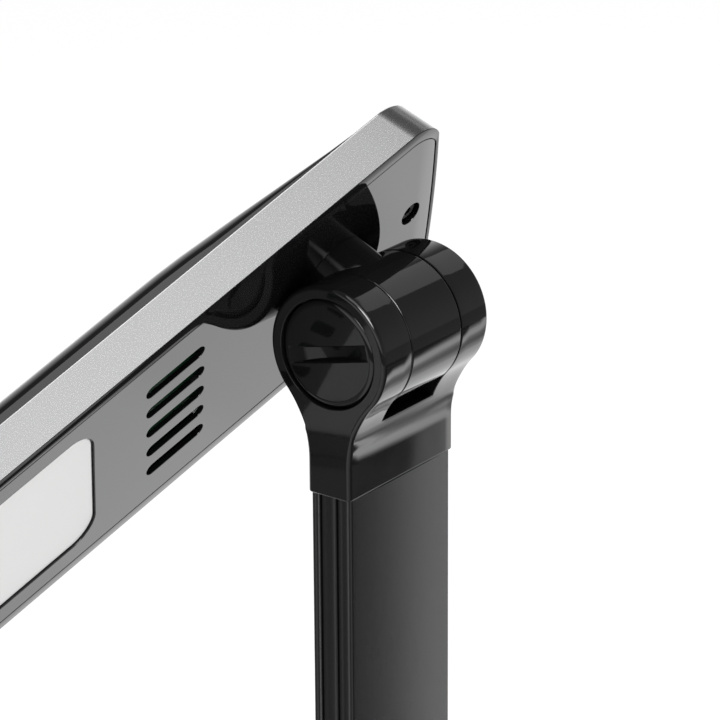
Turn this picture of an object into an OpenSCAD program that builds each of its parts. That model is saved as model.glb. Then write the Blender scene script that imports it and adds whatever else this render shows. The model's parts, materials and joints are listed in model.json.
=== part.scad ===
// Table lamp with a slim swinging head, a flat post and two friction hinges.
// Millimetres. Origin at the centre of the resting face, +Z up, +Y to the front.
// The hinge axes run along X.

/* [Pose at rest] */
// Tilt of the head about the upper hinge, from level
head_tilt = 63.3; // [0:0.1:90]
// Swivel of the head on its neck, from straight ahead
head_swivel = 63.3; // [-90:0.1:90]

/* [Post] */
// Distance between the two hinge axes
arm_span = 360; // [240:5:480]
// Width of the post
post_w = 38; // [36:0.5:44]
// Thickness of the post
post_t = 12; // [11:0.5:14]
// Corner radius of the post's section
post_r = 0.5; // [0.3:0.1:2.5]
// Width of each groove along the narrow faces
groove_w = 0.8; // [0.4:0.1:1.2]
// Depth of each groove
groove_depth = 0.5; // [0.3:0.1:1]
// Distance between the two grooves of a narrow face
groove_pitch = 4.6; // [3:0.2:7]
// How far that pair lies in front of the middle of the narrow face
groove_shift = 0.6; // [-1:0.1:1]
// Width of each hollow beside the screw bores
post_hollow_w = 6.5; // [4:0.5:7]
// Wall round each hollow
post_wall = 2.2; // [1.5:0.1:3]

/* [Hinges] */
// Outer radius of the ears and the knuckles
hinge_r = 16; // [15:0.5:19]
// Radius of the hollow flare between an ear and the post
flare_r = 24; // [18:1:32]
// Distance from a hinge axis to the end of the post
yoke_len = 34.7; // [33:0.5:45]
// How far each ear stands proud of the post's narrow face
yoke_proud = 1.1; // [0.2:0.1:1.4]
// Width of a knuckle
knuckle_w = 18.8; // [18:0.2:20]
// Side gap between a knuckle and each ear
hinge_gap = 0.3; // [0.2:0.05:0.5]
// Gap between a knuckle and the web that joins the ears
web_gap = 1.5; // [0.8:0.1:3]
// Thickness of the ear left round the bolt
ear_web = 2.5; // [1.5:0.1:3]
// Half depth of the block that rises from a knuckle
block_half = 13.8; // [12:0.2:14.4]
// Corner radius of that block
block_r = 9.2; // [6:0.2:9.2]

/* [Hinge fittings] */
// Radius of the pivot bolt
bolt_r = 3; // [2.5:0.1:3.5]
// Radius of the bolt's head
bolt_head_r = 5.5; // [5:0.1:6]
// Height of the bolt's head
bolt_head_h = 3; // [2:0.1:3.2]
// Width of the nut across its flats
nut_flats = 10; // [8.5:0.1:10.5]
// Height of the nut
nut_h = 2.4; // [2:0.1:2.8]
// Thickness of the spring washer under the nut
washer_t = 0.8; // [0.4:0.1:1]
// Wall of the bush that turns on the bolt
bush_wall = 1.2; // [0.8:0.1:1.4]
// Radius of the bush's flange
bush_flange_r = 8; // [7:0.25:9]
// Thickness of the bush's flange
bush_flange_t = 1.2; // [0.8:0.1:2]
// Running clearance between the bolt and the bushes
run_fit = 0.05; // [0.02:0.01:0.1]

/* [Hinge caps] */
// Radius of a cap
cap_r = 12.6; // [11:0.1:13]
// Thickness of a cap
cap_t = 3; // [2:0.1:3.2]
// How far a cap lies below the face of its ear
cap_recess = 0.2; // [0:0.1:0.6]
// Gap round a cap
cap_gap = 0.4; // [0.3:0.05:0.6]
// Length of the coin slot
coin_len = 22; // [14:0.2:22.2]
// Width of the coin slot
coin_w = 3.5; // [2:0.1:4.5]
// Depth of the coin slot at its middle
coin_depth = 1.8; // [1:0.1:2]
// Angle of the coin slot from level
coin_angle = -13.3; // [-90:0.1:90]
// Radius of the skirt behind a cap
skirt_r = 7.2; // [7:0.1:8]
// Wall of that skirt
skirt_wall = 0.9; // [0.7:0.1:1]

/* [Head] */
// Length of the head
head_len = 340; // [280:5:420]
// Distance from the swivel axis to the near tip of the head
head_tail = 36.1; // [30:0.5:50]
// Width of the head
head_w = 63.3; // [62:0.1:72]
// Corner radius of the head in plan
head_r = 10; // [8:0.5:14]
// How far the near tip bows outwards
tip_bow = 1; // [0.2:0.1:2]
// Distance from the upper hinge axis to the underside of the head
head_seat = 16.96; // [16.5:0.02:19]
// Gap between the neck and the underside of the head
neck_gap = 0.3; // [0.2:0.05:0.5]
// Height of the metal band round the head
band_h = 10.47; // [10:0.1:13]
// Wall of the band
band_wall = 1.8; // [1.2:0.1:2]
// Full height of the head over its light
head_h = 16.25; // [15.5:0.25:20]
// Height of the head at its near tip
tip_h = 10.95; // [10.9:0.05:13]
// Rounding of the top cover's long edges
cover_round = 4.4; // [2:0.1:4.6]
// Wall of the top cover
cover_wall = 1.5; // [1.2:0.1:1.8]
// Where the cover starts to slope down, from the swivel axis
slope_start = 45; // [40:1:55]
// Slope of the cover towards the near tip
slope = 0.125; // [0.1:0.005:0.14]
// Length over which the slope rounds into the flat top
slope_blend = 30; // [20:1:35]

/* [Underside] */
// Thickness of the underside panel
panel_t = 1.2; // [0.8:0.1:1.4]
// Width of the band's lip beside the panel
lip_side = 3.3; // [3:0.1:4]
// Width of the band's lip at the ends of the panel
lip_end = 0.9; // [0.6:0.1:1.2]
// Gap round the panel
panel_gap = 0.25; // [0.15:0.05:0.4]
// How far the ledge reaches in past the lip to carry the panel
ledge_in = 2; // [1.5:0.1:2.6]
// Thickness of that ledge
ledge_t = 2; // [1.5:0.1:2.4]
// Length of a vent slot
vent_len = 18; // [10:0.5:20]
// Width of a vent slot
vent_w = 4; // [2:0.1:5]
// Distance from one vent slot to the next
vent_pitch = 8.35; // [7:0.05:9]
// Number of vent slots
vent_count = 5; // [1:1:6]
// Distance from the swivel axis to the vent slots
vent_start = 39.7; // [38:0.5:45]
// Distance from a tip of the head to its panel screw
screw_inset = 8.3; // [7:0.1:9]
// Radius of the hole for the head of a panel screw
screw_hole_r = 3.4; // [2.75:0.05:3.45]

/* [Light] */
// Distance from the swivel axis to the near end of the diffuser
diffuser_start = 73.9; // [70:0.5:90]
// Distance from the far tip of the head to the diffuser
diffuser_margin = 20; // [16:0.5:40]
// Width of the diffuser's face
diffuser_w = 43.7; // [36:0.1:44]
// Corner radius of the diffuser's face
diffuser_r = 7; // [4:0.5:12]
// Gap round the diffuser's face
diffuser_gap = 0.3; // [0.2:0.05:0.6]
// How far the diffuser's face lies below the panel's face
diffuser_recess = 0.5; // [0:0.1:0.8]
// Width of the flange round the diffuser
diffuser_flange = 1.5; // [1:0.1:1.8]
// Thickness of the diffuser's flange
diffuser_t = 1.3; // [1:0.1:1.6]
// Thickness of the light guide
guide_t = 2.5; // [2:0.1:3]
// Thickness of the reflector sheet
reflector_t = 0.3; // [0.2:0.05:0.5]
// Thickness of the heat plate
heat_t = 1.2; // [0.8:0.1:1.5]
// Thickness of the heat plate's turned edges
heat_edge = 0.8; // [0.6:0.1:0.9]
// Thickness of the light bars
bar_t = 1; // [0.8:0.1:1.2]
// Number of light chips on each bar
chip_count = 18; // [8:1:24]
// Length of a light chip
chip_l = 3; // [2:0.1:4]
// Thickness of a light chip
chip_t = 0.7; // [0.5:0.05:0.8]

/* [Swivel] */
// Radius of the hollow swivel stud
stud_r = 5; // [4:0.1:5.5]
// Radius of the bore through the stud
stud_bore = 2.2; // [1.6:0.1:2.6]
// Depth of the stud's seat in the neck
stud_seat = 6; // [4:0.25:6.5]
// Thickness of the swivel seat plate
seat_t = 2; // [1.5:0.1:2.5]
// Length of the swivel seat plate
seat_len = 40; // [30:1:48]
// Radius of the friction disc
disc_r = 12; // [9:0.5:14]
// Width of the swivel nut across its flats
swivel_flats = 15; // [13:0.5:17]
// Height of the swivel nut
swivel_nut_h = 2.6; // [2:0.1:2.8]

/* [Leads] */
// Radius of the lead inside the lamp
lead_r = 1.2; // [0.8:0.1:1.4]
// Clearance round the lead in its bores
lead_gap = 0.3; // [0.2:0.05:0.5]
// Distance from a hinge axis to the lead that passes it
lead_side = 7; // [6.8:0.1:7.4]

/* [Base] */
// Width of the base
base_w = 190; // [160:5:240]
// Depth of the base
base_d = 170; // [160:5:220]
// Corner radius of the base
base_r = 20; // [12:1:40]
// Height of the base above the table
base_h = 20; // [19.4:0.2:24]
// Wall of the base cover
base_wall = 2.2; // [1.6:0.1:2.6]
// Height of the lower hinge axis above the table
low_z = 38; // [36.8:0.2:50]
// Distance from the back of the base to the lower hinge axis
hinge_inset = 40; // [36:1:45]
// Thickness of the pad under the base
pad_t = 1.2; // [0.8:0.1:2]
// Distance from the edge of the base to the pad
pad_inset = 4; // [2:0.5:8]
// Thickness of the tray that closes the base
tray_t = 2; // [1.5:0.1:2.5]
// Thickness of the weight
weight_t = 9; // [6:0.5:9.5]
// Distance from the wall of the base to the weight
weight_inset = 12; // [10:1:16]
// Thickness of the pedestal's foot
foot_t = 3.6; // [3:0.1:3.6]
// Width of the pedestal's foot
foot_w = 52; // [44:1:60]
// Depth of the pedestal's foot
foot_d = 40; // [38:1:42]

/* [Controls] */
// Distance from the front of the base to the middle of the buttons
control_inset = 31; // [28:0.5:36]
// Width of the control panel
control_w = 104; // [90:1:120]
// Depth of the control panel
control_d = 22; // [18:0.5:24]
// Thickness of the control panel
control_t = 1; // [0.6:0.1:1.2]
// Distance from one button to the next
button_pitch = 25; // [20:0.5:27]
// Width of a button
button_w = 15; // [10:0.5:16]
// Depth of a button
button_d = 10; // [7:0.5:12]
// Corner radius of a button
button_r = 3; // [1:0.25:3.5]
// How far a button stands proud of its panel
button_proud = 0.8; // [0.7:0.1:1.2]
// Travel of a button
button_travel = 0.6; // [0.3:0.1:0.6]
// Gap round a button
button_gap = 0.3; // [0.2:0.05:0.5]
// Thickness of the circuit boards
board_t = 1.6; // [1:0.1:1.8]
// Radius of the socket in the power inlet
socket_r = 3; // [2.5:0.1:3.2]
// Radius of the pin in that socket
pin_r = 1.05; // [0.8:0.05:1.3]
// Depth of the socket
socket_depth = 9.5; // [7:0.5:11]

/* [Hidden] */
$fn = 96;
fine = 720; // sides of the large arcs
cut = 1; // overshoot of a cutting solid past a face

// Post and hinges
yoke_half = post_w / 2 + yoke_proud;
knuckle_half = knuckle_w / 2;
ear_in = knuckle_half + hinge_gap;
ear_floor = ear_in + ear_web;
cap_back = yoke_half - cap_recess - cap_t;
cap_bore_r = cap_r + cap_gap;
cap_floor = cap_back - hinge_gap;
skirt_bore_r = skirt_r + hinge_gap;
flare_y = post_t / 2 + flare_r;
flare_z = sqrt(pow(flare_r + hinge_r, 2) - pow(flare_y, 2));
tangent = hinge_r / (hinge_r + flare_r);
web_z = hinge_r + web_gap;
bolt_bore = bolt_r + run_fit;
bush_r = bolt_bore + bush_wall;
bush_len = knuckle_half - bush_flange_t - 1;
nut_start = ear_floor + washer_t;
screw_r = 2;
screw_head_r = 3.2;
screw_head_h = 2;
screw_pitch = 12;
yoke_screw_len = 16;
screw_edge = screw_pitch / 2 + screw_r;
lead_bore = lead_r + lead_gap;

// Head, measured along it from the swivel axis and up from its underside
head_end = head_len - head_tail;
head_half = head_w / 2;
bow_r = (pow(head_half, 2) + pow(tip_bow, 2)) / (2 * tip_bow);
slope_r = slope_blend / slope;
slope_mid = slope_start - slope_blend;
slope_mid_h = head_h - pow(slope_blend, 2) / (2 * slope_r);
slope_foot = slope_mid - (slope_mid_h - tip_h) / slope;
ledge_top = panel_t + ledge_t;
ledge_half = head_half - lip_side - ledge_in;
cover_boss_r = 3.4;
lip_gap = 0.1;
rim_in = band_wall + lip_gap + 1.2;
rim_t = 0.4;
small_r = 1.5;
small_head_r = 2.4;
small_head_h = 1.2;
cup_r = 4.2;
cup_floor = 2.2;
cup_t = 0.9;
cup_top = cup_floor + cup_t;
diffuser_end = head_end - diffuser_margin;
guide_z = panel_t + diffuser_t;
reflector_z = guide_z + guide_t;
heat_z = reflector_z + reflector_t;
heat_half = ledge_half - 0.3;
bar_half = heat_half - heat_edge;
guide_half = bar_half - bar_t - chip_t - 0.2;
bar_z = guide_z + 0.2;
bar_h = heat_z - bar_z;
chip_h = 1.4;
neck_top = head_seat - neck_gap;
stud_foot = neck_top - stud_seat;
seat_z = ledge_top;
swivel_washer_z = seat_z + seat_t;
swivel_nut_z = swivel_washer_z + washer_t;
stud_top = head_seat + swivel_nut_z + swivel_nut_h + 0.4;
pocket_r = 4.2;
pocket_h = 3;
panel_screw_x = [screw_inset - head_tail, head_end - screw_inset];
head_board_z = 5.6;
head_board_l = 34;
head_board_w = 40;
head_lead_lap = 8;

// Base
high_z = low_z + arm_span;
hinge_back = base_d / 2 - hinge_inset;
control_y = base_d / 2 - control_inset;
tray_top = pad_t + tray_t;
weight_top = tray_top + weight_t;
roof_z = base_h - base_wall;
block_foot = low_z - weight_top;
weight_back = base_d / 2 - base_wall - 4;
inlet_w = 10;
inlet_d = 14;
inlet_h = 11;
inlet_z = tray_top + 5.5;
inlet_back = base_d / 2 - base_wall;
board_z = weight_top - 1;
board_top = board_z + board_t;
lead_z = board_top + lead_r;
board_w = 112;
board_d = 30;
weight_front = control_y - board_d / 2 - 7;
boss_x = board_w / 2 - 6;
boss_y = board_d / 2 - 5;
button_low = roof_z - button_gap - 0.6;
switch_h = button_low - button_travel - 0.1 - board_top;
tray_boss_r = 4;
tray_screw_x = base_w / 2 - base_r;
tray_screw_y = base_d / 2 - base_r + 2;
tray_screw_len = 8;
lead_clear = 8;
lead_turn = inlet_d - inlet_back + lead_r + 0.5;
button_x = [for (i = [0 : 3]) (i - 1.5) * button_pitch];

// Places
module at_lower() translate([0, -hinge_back, low_z]) children();
module at_upper() translate([0, -hinge_back, high_z]) children();
module on_neck() at_upper() rotate([-head_tilt, 0, 0]) children();
module on_head() on_neck() rotate([0, 0, 90 + head_swivel]) translate([0, 0, head_seat]) children();

// Shapes that repeat
module rounded(w, d, r) {
    square([w - 2 * r, d], center = true);
    square([w, d - 2 * r], center = true);
    for (x = [-1, 1], y = [-1, 1])
        translate([x * (w / 2 - r), y * (d / 2 - r)]) circle(r = r);
}

module rod_x(r, from, to) translate([from, 0, 0]) rotate([0, 90, 0]) cylinder(r = r, h = to - from);

module rod_y(r, from, to) translate([0, to, 0]) rotate([90, 0, 0]) cylinder(r = r, h = to - from);

// A rod from one point to another, with a round end at the first where the lead bends there
module lead_run(a, b, bend) {
    run = b - a;
    length = norm(run);
    translate(a) {
        if (bend) sphere(r = lead_r, $fn = 32);
        rotate([0, acos(run[2] / length), atan2(run[1], run[0])])
            cylinder(r = lead_r, h = length, $fn = 32);
    }
}

module lead_path(points) {
    for (i = [0 : len(points) - 2]) lead_run(points[i], points[i + 1], i > 0);
}

// A screw with its head at the bottom and its tip upwards
module screw_up(r, head_r, head_h, length) {
    difference() {
        cylinder(r = head_r, h = head_h, $fn = 48);
        translate([0, 0, -cut]) cylinder(r = head_r * 0.5, h = cut + head_h * 0.5, $fn = 6);
    }
    translate([0, 0, head_h]) cylinder(r = r, h = length, $fn = 48);
}

module screw_down(r, head_r, head_h, length) mirror([0, 0, 1]) screw_up(r, head_r, head_h, length);

// Keyhole outline of an ear, seen along the hinge axis
module ear_outline() {
    circle(r = hinge_r);
    translate([-post_t / 2, -yoke_len]) square([post_t, yoke_len]);
    difference() {
        translate([-flare_y * tangent, -flare_z])
            square([2 * flare_y * tangent, flare_z * (1 - tangent)]);
        for (side = [-1, 1]) translate([side * flare_y, -flare_z]) circle(r = flare_r, $fn = 192);
    }
}

// Yoke over a post, with its hinge axis at the origin
module yoke() {
    color("#1b1b1d") difference() {
        rotate([90, 0, 90]) linear_extrude(2 * yoke_half, center = true) ear_outline();
        translate([-ear_in, -2 * hinge_r, -web_z]) cube([2 * ear_in, 4 * hinge_r, 3 * hinge_r]);
        rod_x(bolt_bore - run_fit, -yoke_half - cut, yoke_half + cut);
        for (side = [-1, 1]) scale([side, 1, 1]) {
            rod_x(cap_bore_r, cap_floor, yoke_half + cut);
            rod_x(skirt_bore_r, ear_floor, yoke_half);
        }
        translate([0, 0, -yoke_len - cut]) cylinder(r = lead_bore, h = yoke_len);
        for (side = [-1, 1]) translate([side * screw_pitch / 2, 0, 0]) {
            translate([0, 0, -yoke_len - cut]) cylinder(r = screw_r + 0.15, h = yoke_len);
            translate([0, 0, -web_z - screw_head_h - 0.4]) cylinder(r = screw_head_r + 0.3, h = yoke_len);
        }
    }
}

module yoke_screws() {
    color("#9a9a9c") for (side = [-1, 1])
        translate([side * screw_pitch / 2, 0, -web_z - 0.4])
            screw_down(screw_r, screw_head_r, screw_head_h, yoke_screw_len);
}

module pivot_bolt() {
    color("#a8a8aa") {
        rod_x(bolt_r, -ear_floor, nut_start + nut_h + 0.2);
        difference() {
            rod_x(bolt_head_r, -ear_floor - bolt_head_h, -ear_floor);
            rotate([0, 0, 180]) translate([ear_floor + bolt_head_h * 0.4, 0, 0])
                rotate([0, 90, 0]) cylinder(r = bolt_head_r * 0.5, h = bolt_head_h, $fn = 6);
        }
    }
}

module pivot_nut() {
    color("#b4b4b6") difference() {
        translate([nut_start, 0, 0]) rotate([0, 90, 0])
            cylinder(d = nut_flats / cos(30), h = nut_h, $fn = 6);
        rod_x(bolt_r, 0, yoke_half);
    }
}

module spring_washer() {
    difference() {
        rod_x(bolt_head_r, ear_floor, nut_start);
        rod_x(bolt_r + 0.2, 0, yoke_half);
    }
}

// Pair of flanged bushes in a knuckle
module bushes() {
    color("#8f7a45") for (side = [-1, 1]) scale([side, 1, 1]) difference() {
        union() {
            rod_x(bush_r, knuckle_half - bush_len, knuckle_half - bush_flange_t);
            rod_x(bush_flange_r, knuckle_half - bush_flange_t, knuckle_half + hinge_gap / 2);
        }
        rod_x(bolt_bore, 0, yoke_half);
    }
}

// Knuckle with the block that rises from it, bored for its bushes and its lead
module knuckle(height) {
    difference() {
        union() {
            rod_x(hinge_r, -knuckle_half, knuckle_half);
            linear_extrude(height) rounded(knuckle_w, 2 * block_half, block_r);
        }
        rod_x(bush_r, -knuckle_half - cut, knuckle_half + cut);
        for (side = [-1, 1]) scale([side, 1, 1])
            rod_x(bush_flange_r + 0.1, knuckle_half - bush_flange_t, knuckle_half + cut);
    }
}

// Round cap with a coin slot, on the side that x points to
module hinge_cap() {
    coin_r = (pow(coin_len / 2, 2) + pow(coin_depth, 2)) / (2 * coin_depth);
    face = yoke_half - cap_recess;
    color("#141416") difference() {
        union() {
            rod_x(cap_r, cap_back, face);
            difference() {
                rod_x(skirt_r, ear_floor + hinge_gap, face - 0.5);
                rod_x(skirt_r - skirt_wall, 0, cap_back);
            }
        }
        rotate([coin_angle, 0, 0]) translate([face + coin_r - coin_depth, 0, 0])
            cylinder(r = coin_r, h = coin_w, center = true, $fn = 192);
    }
}

module cap_at(side) {
    if (side > 0) hinge_cap();
    else mirror([1, 0, 0]) hinge_cap();
}

// Plan of the head, drawn in by different amounts at its sides and its ends
module head_plan(side_in, end_in) {
    r = head_r - min(side_in, end_in);
    intersection() {
        translate([head_len / 2 - head_tail, 0])
            rounded(head_len - 2 * end_in, head_w - 2 * side_in, r);
        translate([end_in - head_tail + bow_r, 0]) circle(r = bow_r, $fn = fine);
    }
}

// Side view of the cover's top, lowered by a wall
module cover_side(wall) {
    top = head_h - wall;
    far = head_end - wall;
    r = cover_round - wall / 2;
    translate([slope_start, 0]) square([far - r - slope_start, top]);
    translate([slope_start, 0]) square([far - slope_start, top - r]);
    translate([far - r, top - r]) circle(r = r);
    intersection() {
        translate([slope_mid, 0]) square([slope_blend, head_h]);
        translate([slope_start, top - slope_r]) circle(r = slope_r, $fn = 2 * fine);
    }
    polygon([
        [-head_tail, 0], [slope_mid, 0], [slope_mid, slope_mid_h - wall],
        [slope_foot, tip_h - wall], [-head_tail, tip_h - wall]
    ]);
}

module cover_section(wall) {
    half = head_half - wall;
    r = cover_round - wall / 2;
    top = head_h - wall;
    translate([-half, 0]) square([2 * half, top - r]);
    translate([r - half, 0]) square([2 * (half - r), top]);
    for (side = [-1, 1]) translate([side * (half - r), top - r]) circle(r = r);
}

module cover_form(wall) {
    intersection() {
        linear_extrude(head_h) head_plan(wall, wall);
        rotate([90, 0, 0]) linear_extrude(head_w, center = true) cover_side(wall);
        translate([-head_tail, 0, 0]) rotate([90, 0, 90]) linear_extrude(head_len) cover_section(wall);
    }
}

module diffuser_plan(grow) {
    translate([(diffuser_start + diffuser_end) / 2, 0])
        rounded(diffuser_end - diffuser_start + 2 * grow, diffuser_w + 2 * grow, diffuser_r + grow);
}

// Base
module base_pad() {
    color("#202022") linear_extrude(pad_t)
        rounded(base_w - 2 * pad_inset, base_d - 2 * pad_inset, base_r - pad_inset);
}

module base_tray() {
    color("#2a2a2c") difference() {
        translate([0, 0, pad_t]) linear_extrude(tray_t)
            rounded(base_w - 2 * base_wall - 0.4, base_d - 2 * base_wall - 0.4, base_r - base_wall);
        for (x = [-1, 1], y = [-1, 1]) translate([x * tray_screw_x, y * tray_screw_y, 0]) {
            cylinder(r = small_r + 0.2, h = base_h);
            cylinder(r = small_head_r + 0.3, h = pad_t + small_head_h);
        }
    }
}

module base_screws() {
    color("#77777a") for (x = [-1, 1], y = [-1, 1])
        translate([x * tray_screw_x, y * tray_screw_y, pad_t])
            screw_up(small_r, small_head_r, small_head_h, tray_screw_len);
}

module base_weight() {
    depth = weight_front + weight_back;
    color("#3c3c3f") difference() {
        translate([0, weight_front - depth / 2, tray_top]) linear_extrude(weight_t)
            rounded(base_w - 2 * (base_wall + weight_inset), depth, 6);
        translate([-inlet_w, -base_d, 0])
            cube([2 * inlet_w, base_d + lead_turn + lead_r + hinge_gap, base_h]);
        for (side = [-1, 1]) translate([side * tray_screw_x, -tray_screw_y, 0]) {
            cylinder(r = tray_boss_r + 0.5, h = base_h);
            translate([-tray_boss_r - 0.5, -base_d, 0]) cube([2 * tray_boss_r + 1, base_d, base_h]);
            translate([side > 0 ? 0 : -base_w, -base_d, 0])
                cube([base_w, base_d + tray_boss_r + 0.5, base_h]);
        }
        translate([0, -hinge_back, 0]) for (x = [-1, 1], y = [-1, 1])
            translate([x * (foot_w / 2 - 6), y * (foot_d / 2 - 6), 0]) cylinder(r = screw_r, h = base_h);
    }
}

module base_cover() {
    color("#18181a") {
        difference() {
            translate([0, 0, pad_t]) linear_extrude(base_h - pad_t) rounded(base_w, base_d, base_r);
            linear_extrude(roof_z)
                rounded(base_w - 2 * base_wall, base_d - 2 * base_wall, base_r - base_wall);
            translate([0, -hinge_back, 0]) linear_extrude(2 * base_h)
                rounded(knuckle_w + 2 * hinge_gap, 2 * (block_half + hinge_gap), block_r + hinge_gap);
            translate([0, control_y, base_h - control_t]) linear_extrude(base_h)
                rounded(control_w + 0.4, control_d + 0.4, 4.2);
            for (x = button_x) translate([x, control_y, 0]) linear_extrude(2 * base_h)
                rounded(button_w + 2 * button_gap, button_d + 2 * button_gap, button_r + button_gap);
            translate([0, 0, inlet_z]) rod_y(socket_r + 0.3, -base_d, -base_d / 4);
        }
        for (x = [-1, 1], y = [-1, 1]) translate([x * tray_screw_x, y * tray_screw_y, tray_top])
            difference() {
                cylinder(r = tray_boss_r, h = roof_z - tray_top + cut);
                translate([0, 0, -cut]) cylinder(r = small_r, h = base_h / 2 + cut);
            }
        for (x = [-1, 1], y = [-1, 1])
            translate([x * boss_x, control_y + y * boss_y, board_top]) difference() {
                cylinder(r = 3, h = roof_z - board_top + cut);
                translate([0, 0, -cut]) cylinder(r = small_r, h = 4 + cut);
            }
    }
}

module pedestal() {
    color("#1b1b1d") difference() {
        union() {
            at_lower() mirror([0, 0, 1]) knuckle(block_foot);
            translate([0, -hinge_back, weight_top]) linear_extrude(foot_t) rounded(foot_w, foot_d, 6);
        }
        at_lower() translate([0, lead_side, -block_foot - cut]) cylinder(r = lead_bore, h = low_z + hinge_r);
        translate([-lead_bore, lead_side - hinge_back, weight_top - cut])
            cube([2 * lead_bore, foot_d, cut + lead_z - weight_top + lead_bore]);
        translate([-lead_bore, block_half - hinge_back, weight_top - cut])
            cube([2 * lead_bore, foot_d, foot_t + 2 * cut]);
        translate([0, -hinge_back, 0]) for (x = [-1, 1], y = [-1, 1])
            translate([x * (foot_w / 2 - 6), y * (foot_d / 2 - 6), 0])
                cylinder(r = screw_r + 0.2, h = low_z);
    }
}

module pedestal_screws() {
    color("#9a9a9c") for (x = [-1, 1], y = [-1, 1])
        translate([x * (foot_w / 2 - 6), y * (foot_d / 2 - 6) - hinge_back, weight_top + foot_t + 1.6])
            screw_down(screw_r, screw_head_r, 1.6, foot_t + 6);
}

module lower_bushes() at_lower() bushes();

// Controls
module control_panel() {
    color("#101012") translate([0, control_y, base_h - control_t]) linear_extrude(control_t) difference() {
        rounded(control_w, control_d, 4);
        for (x = button_x) translate([x, 0])
            rounded(button_w + 2 * button_gap, button_d + 2 * button_gap, button_r + button_gap);
    }
}

module control_board() {
    color("#1f5a38") translate([0, control_y, board_z]) linear_extrude(board_t) difference() {
        rounded(board_w, board_d, 3);
        for (x = [-1, 1], y = [-1, 1]) translate([x * boss_x, y * boss_y]) circle(r = small_r + 0.2);
    }
}

module board_screws() {
    color("#9a9a9c") for (x = [-1, 1], y = [-1, 1])
        translate([x * boss_x, control_y + y * boss_y, board_z - small_head_h])
            screw_up(small_r, small_head_r, small_head_h, board_t + 3.5);
}

module tact_switches() {
    color("#303033") for (x = button_x) translate([x, control_y, board_top]) {
        translate([0, 0, (switch_h - 0.8) / 2]) cube([6, 6, switch_h - 0.8], center = true);
        cylinder(r = 1.7, h = switch_h, $fn = 48);
    }
}

module button(index) {
    color("#e8e8ea") translate([button_x[index], control_y, 0]) {
        translate([0, 0, button_low + 0.6]) linear_extrude(base_h + button_proud - button_low - 0.6)
            rounded(button_w, button_d, button_r);
        translate([0, 0, button_low]) linear_extrude(0.6) rounded(button_w + 2, button_d + 2, button_r + 1);
    }
}

module power_button() button(0);
module colour_button() button(1);
module dimmer_button() button(2);
module brighter_button() button(3);

module power_inlet() {
    color("#1a1a1c") translate([0, 0, inlet_z]) {
        difference() {
            translate([-inlet_w / 2, -inlet_back, -inlet_h / 2]) cube([inlet_w, inlet_d, inlet_h]);
            rod_y(socket_r, -inlet_back - cut, socket_depth - inlet_back);
        }
        rod_y(pin_r, 1 - inlet_back, socket_depth - inlet_back + cut);
    }
}

module inlet_lead() {
    side = foot_w / 2 + lead_clear;
    start = inlet_d - inlet_back;
    color("#2c2c30") lead_path([
        [inlet_w / 4, start, inlet_z + 2], [inlet_w / 4, lead_turn, inlet_z + 2],
        [inlet_w / 4, lead_turn, lead_z], [side, lead_turn, lead_z],
        [side, control_y - board_d / 2 + 2, lead_z]
    ]);
}

module base_lead() {
    color("#2c2c30") lead_path([
        [0, control_y - board_d / 2 + 2, lead_z], [0, lead_side - hinge_back, lead_z],
        [0, lead_side - hinge_back, low_z + hinge_r - 2]
    ]);
}

// Post and yokes
module post() {
    hollow_x = screw_edge + post_hollow_w / 2 + post_wall / 2;
    color("#19191b") translate([0, -hinge_back, low_z + yoke_len])
        linear_extrude(arm_span - 2 * yoke_len) difference() {
            rounded(post_w, post_t, post_r);
            circle(r = lead_r + 1, $fn = 48);
            for (side = [-1, 1]) {
                translate([side * screw_pitch / 2, 0]) circle(r = screw_r, $fn = 48);
                translate([side * hollow_x, 0]) rounded(post_hollow_w, post_t - 2 * post_wall, 1);
                for (row = [-1, 1]) translate([side * post_w / 2, groove_shift + row * groove_pitch / 2])
                    square([2 * groove_depth, groove_w], center = true);
            }
        }
}

module upper_yoke() at_upper() yoke();
module lower_yoke() at_lower() mirror([0, 0, 1]) yoke();
module upper_yoke_screws() at_upper() yoke_screws();
module lower_yoke_screws() at_lower() mirror([0, 0, 1]) yoke_screws();
module upper_pivot_bolt() at_upper() pivot_bolt();
module lower_pivot_bolt() at_lower() pivot_bolt();
module upper_pivot_nut() at_upper() pivot_nut();
module lower_pivot_nut() at_lower() pivot_nut();

module spring_washers() {
    color("#6e6e72") {
        at_upper() spring_washer();
        at_lower() spring_washer();
    }
}

module post_lead() {
    color("#2c2c30") translate([0, -hinge_back, low_z + web_z])
        cylinder(r = lead_r, h = arm_span - 2 * web_z, $fn = 32);
}

module upper_left_cap() at_upper() cap_at(-1);
module upper_right_cap() at_upper() cap_at(1);
module lower_left_cap() at_lower() mirror([0, 0, 1]) cap_at(-1);
module lower_right_cap() at_lower() mirror([0, 0, 1]) cap_at(1);

// Neck and swivel
module neck() {
    color("#1b1b1d") on_neck() difference() {
        knuckle(neck_top);
        translate([0, 0, stud_foot]) cylinder(r = stud_r, h = stud_seat + cut);
        translate([0, 0, stud_foot - pocket_h]) cylinder(r = pocket_r, h = pocket_h + cut);
        translate([0, lead_side, -hinge_r - cut])
            cylinder(r = lead_bore, h = hinge_r + cut + stud_foot - pocket_h / 2);
        translate([-lead_bore, 0, stud_foot - pocket_h])
            cube([2 * lead_bore, lead_side + lead_bore, pocket_h]);
    }
}

module upper_bushes() on_neck() bushes();

module swivel_stud() {
    color("#a8a8aa") on_neck() difference() {
        translate([0, 0, stud_foot]) cylinder(r = stud_r, h = stud_top - stud_foot);
        cylinder(r = stud_bore, h = 3 * hinge_r);
    }
}

module swivel_washer() {
    color("#6e6e72") on_head() translate([0, 0, swivel_washer_z]) difference() {
        cylinder(r = disc_r - 2, h = washer_t);
        translate([0, 0, -cut]) cylinder(r = stud_r + 0.05, h = washer_t + 2 * cut);
    }
}

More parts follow.
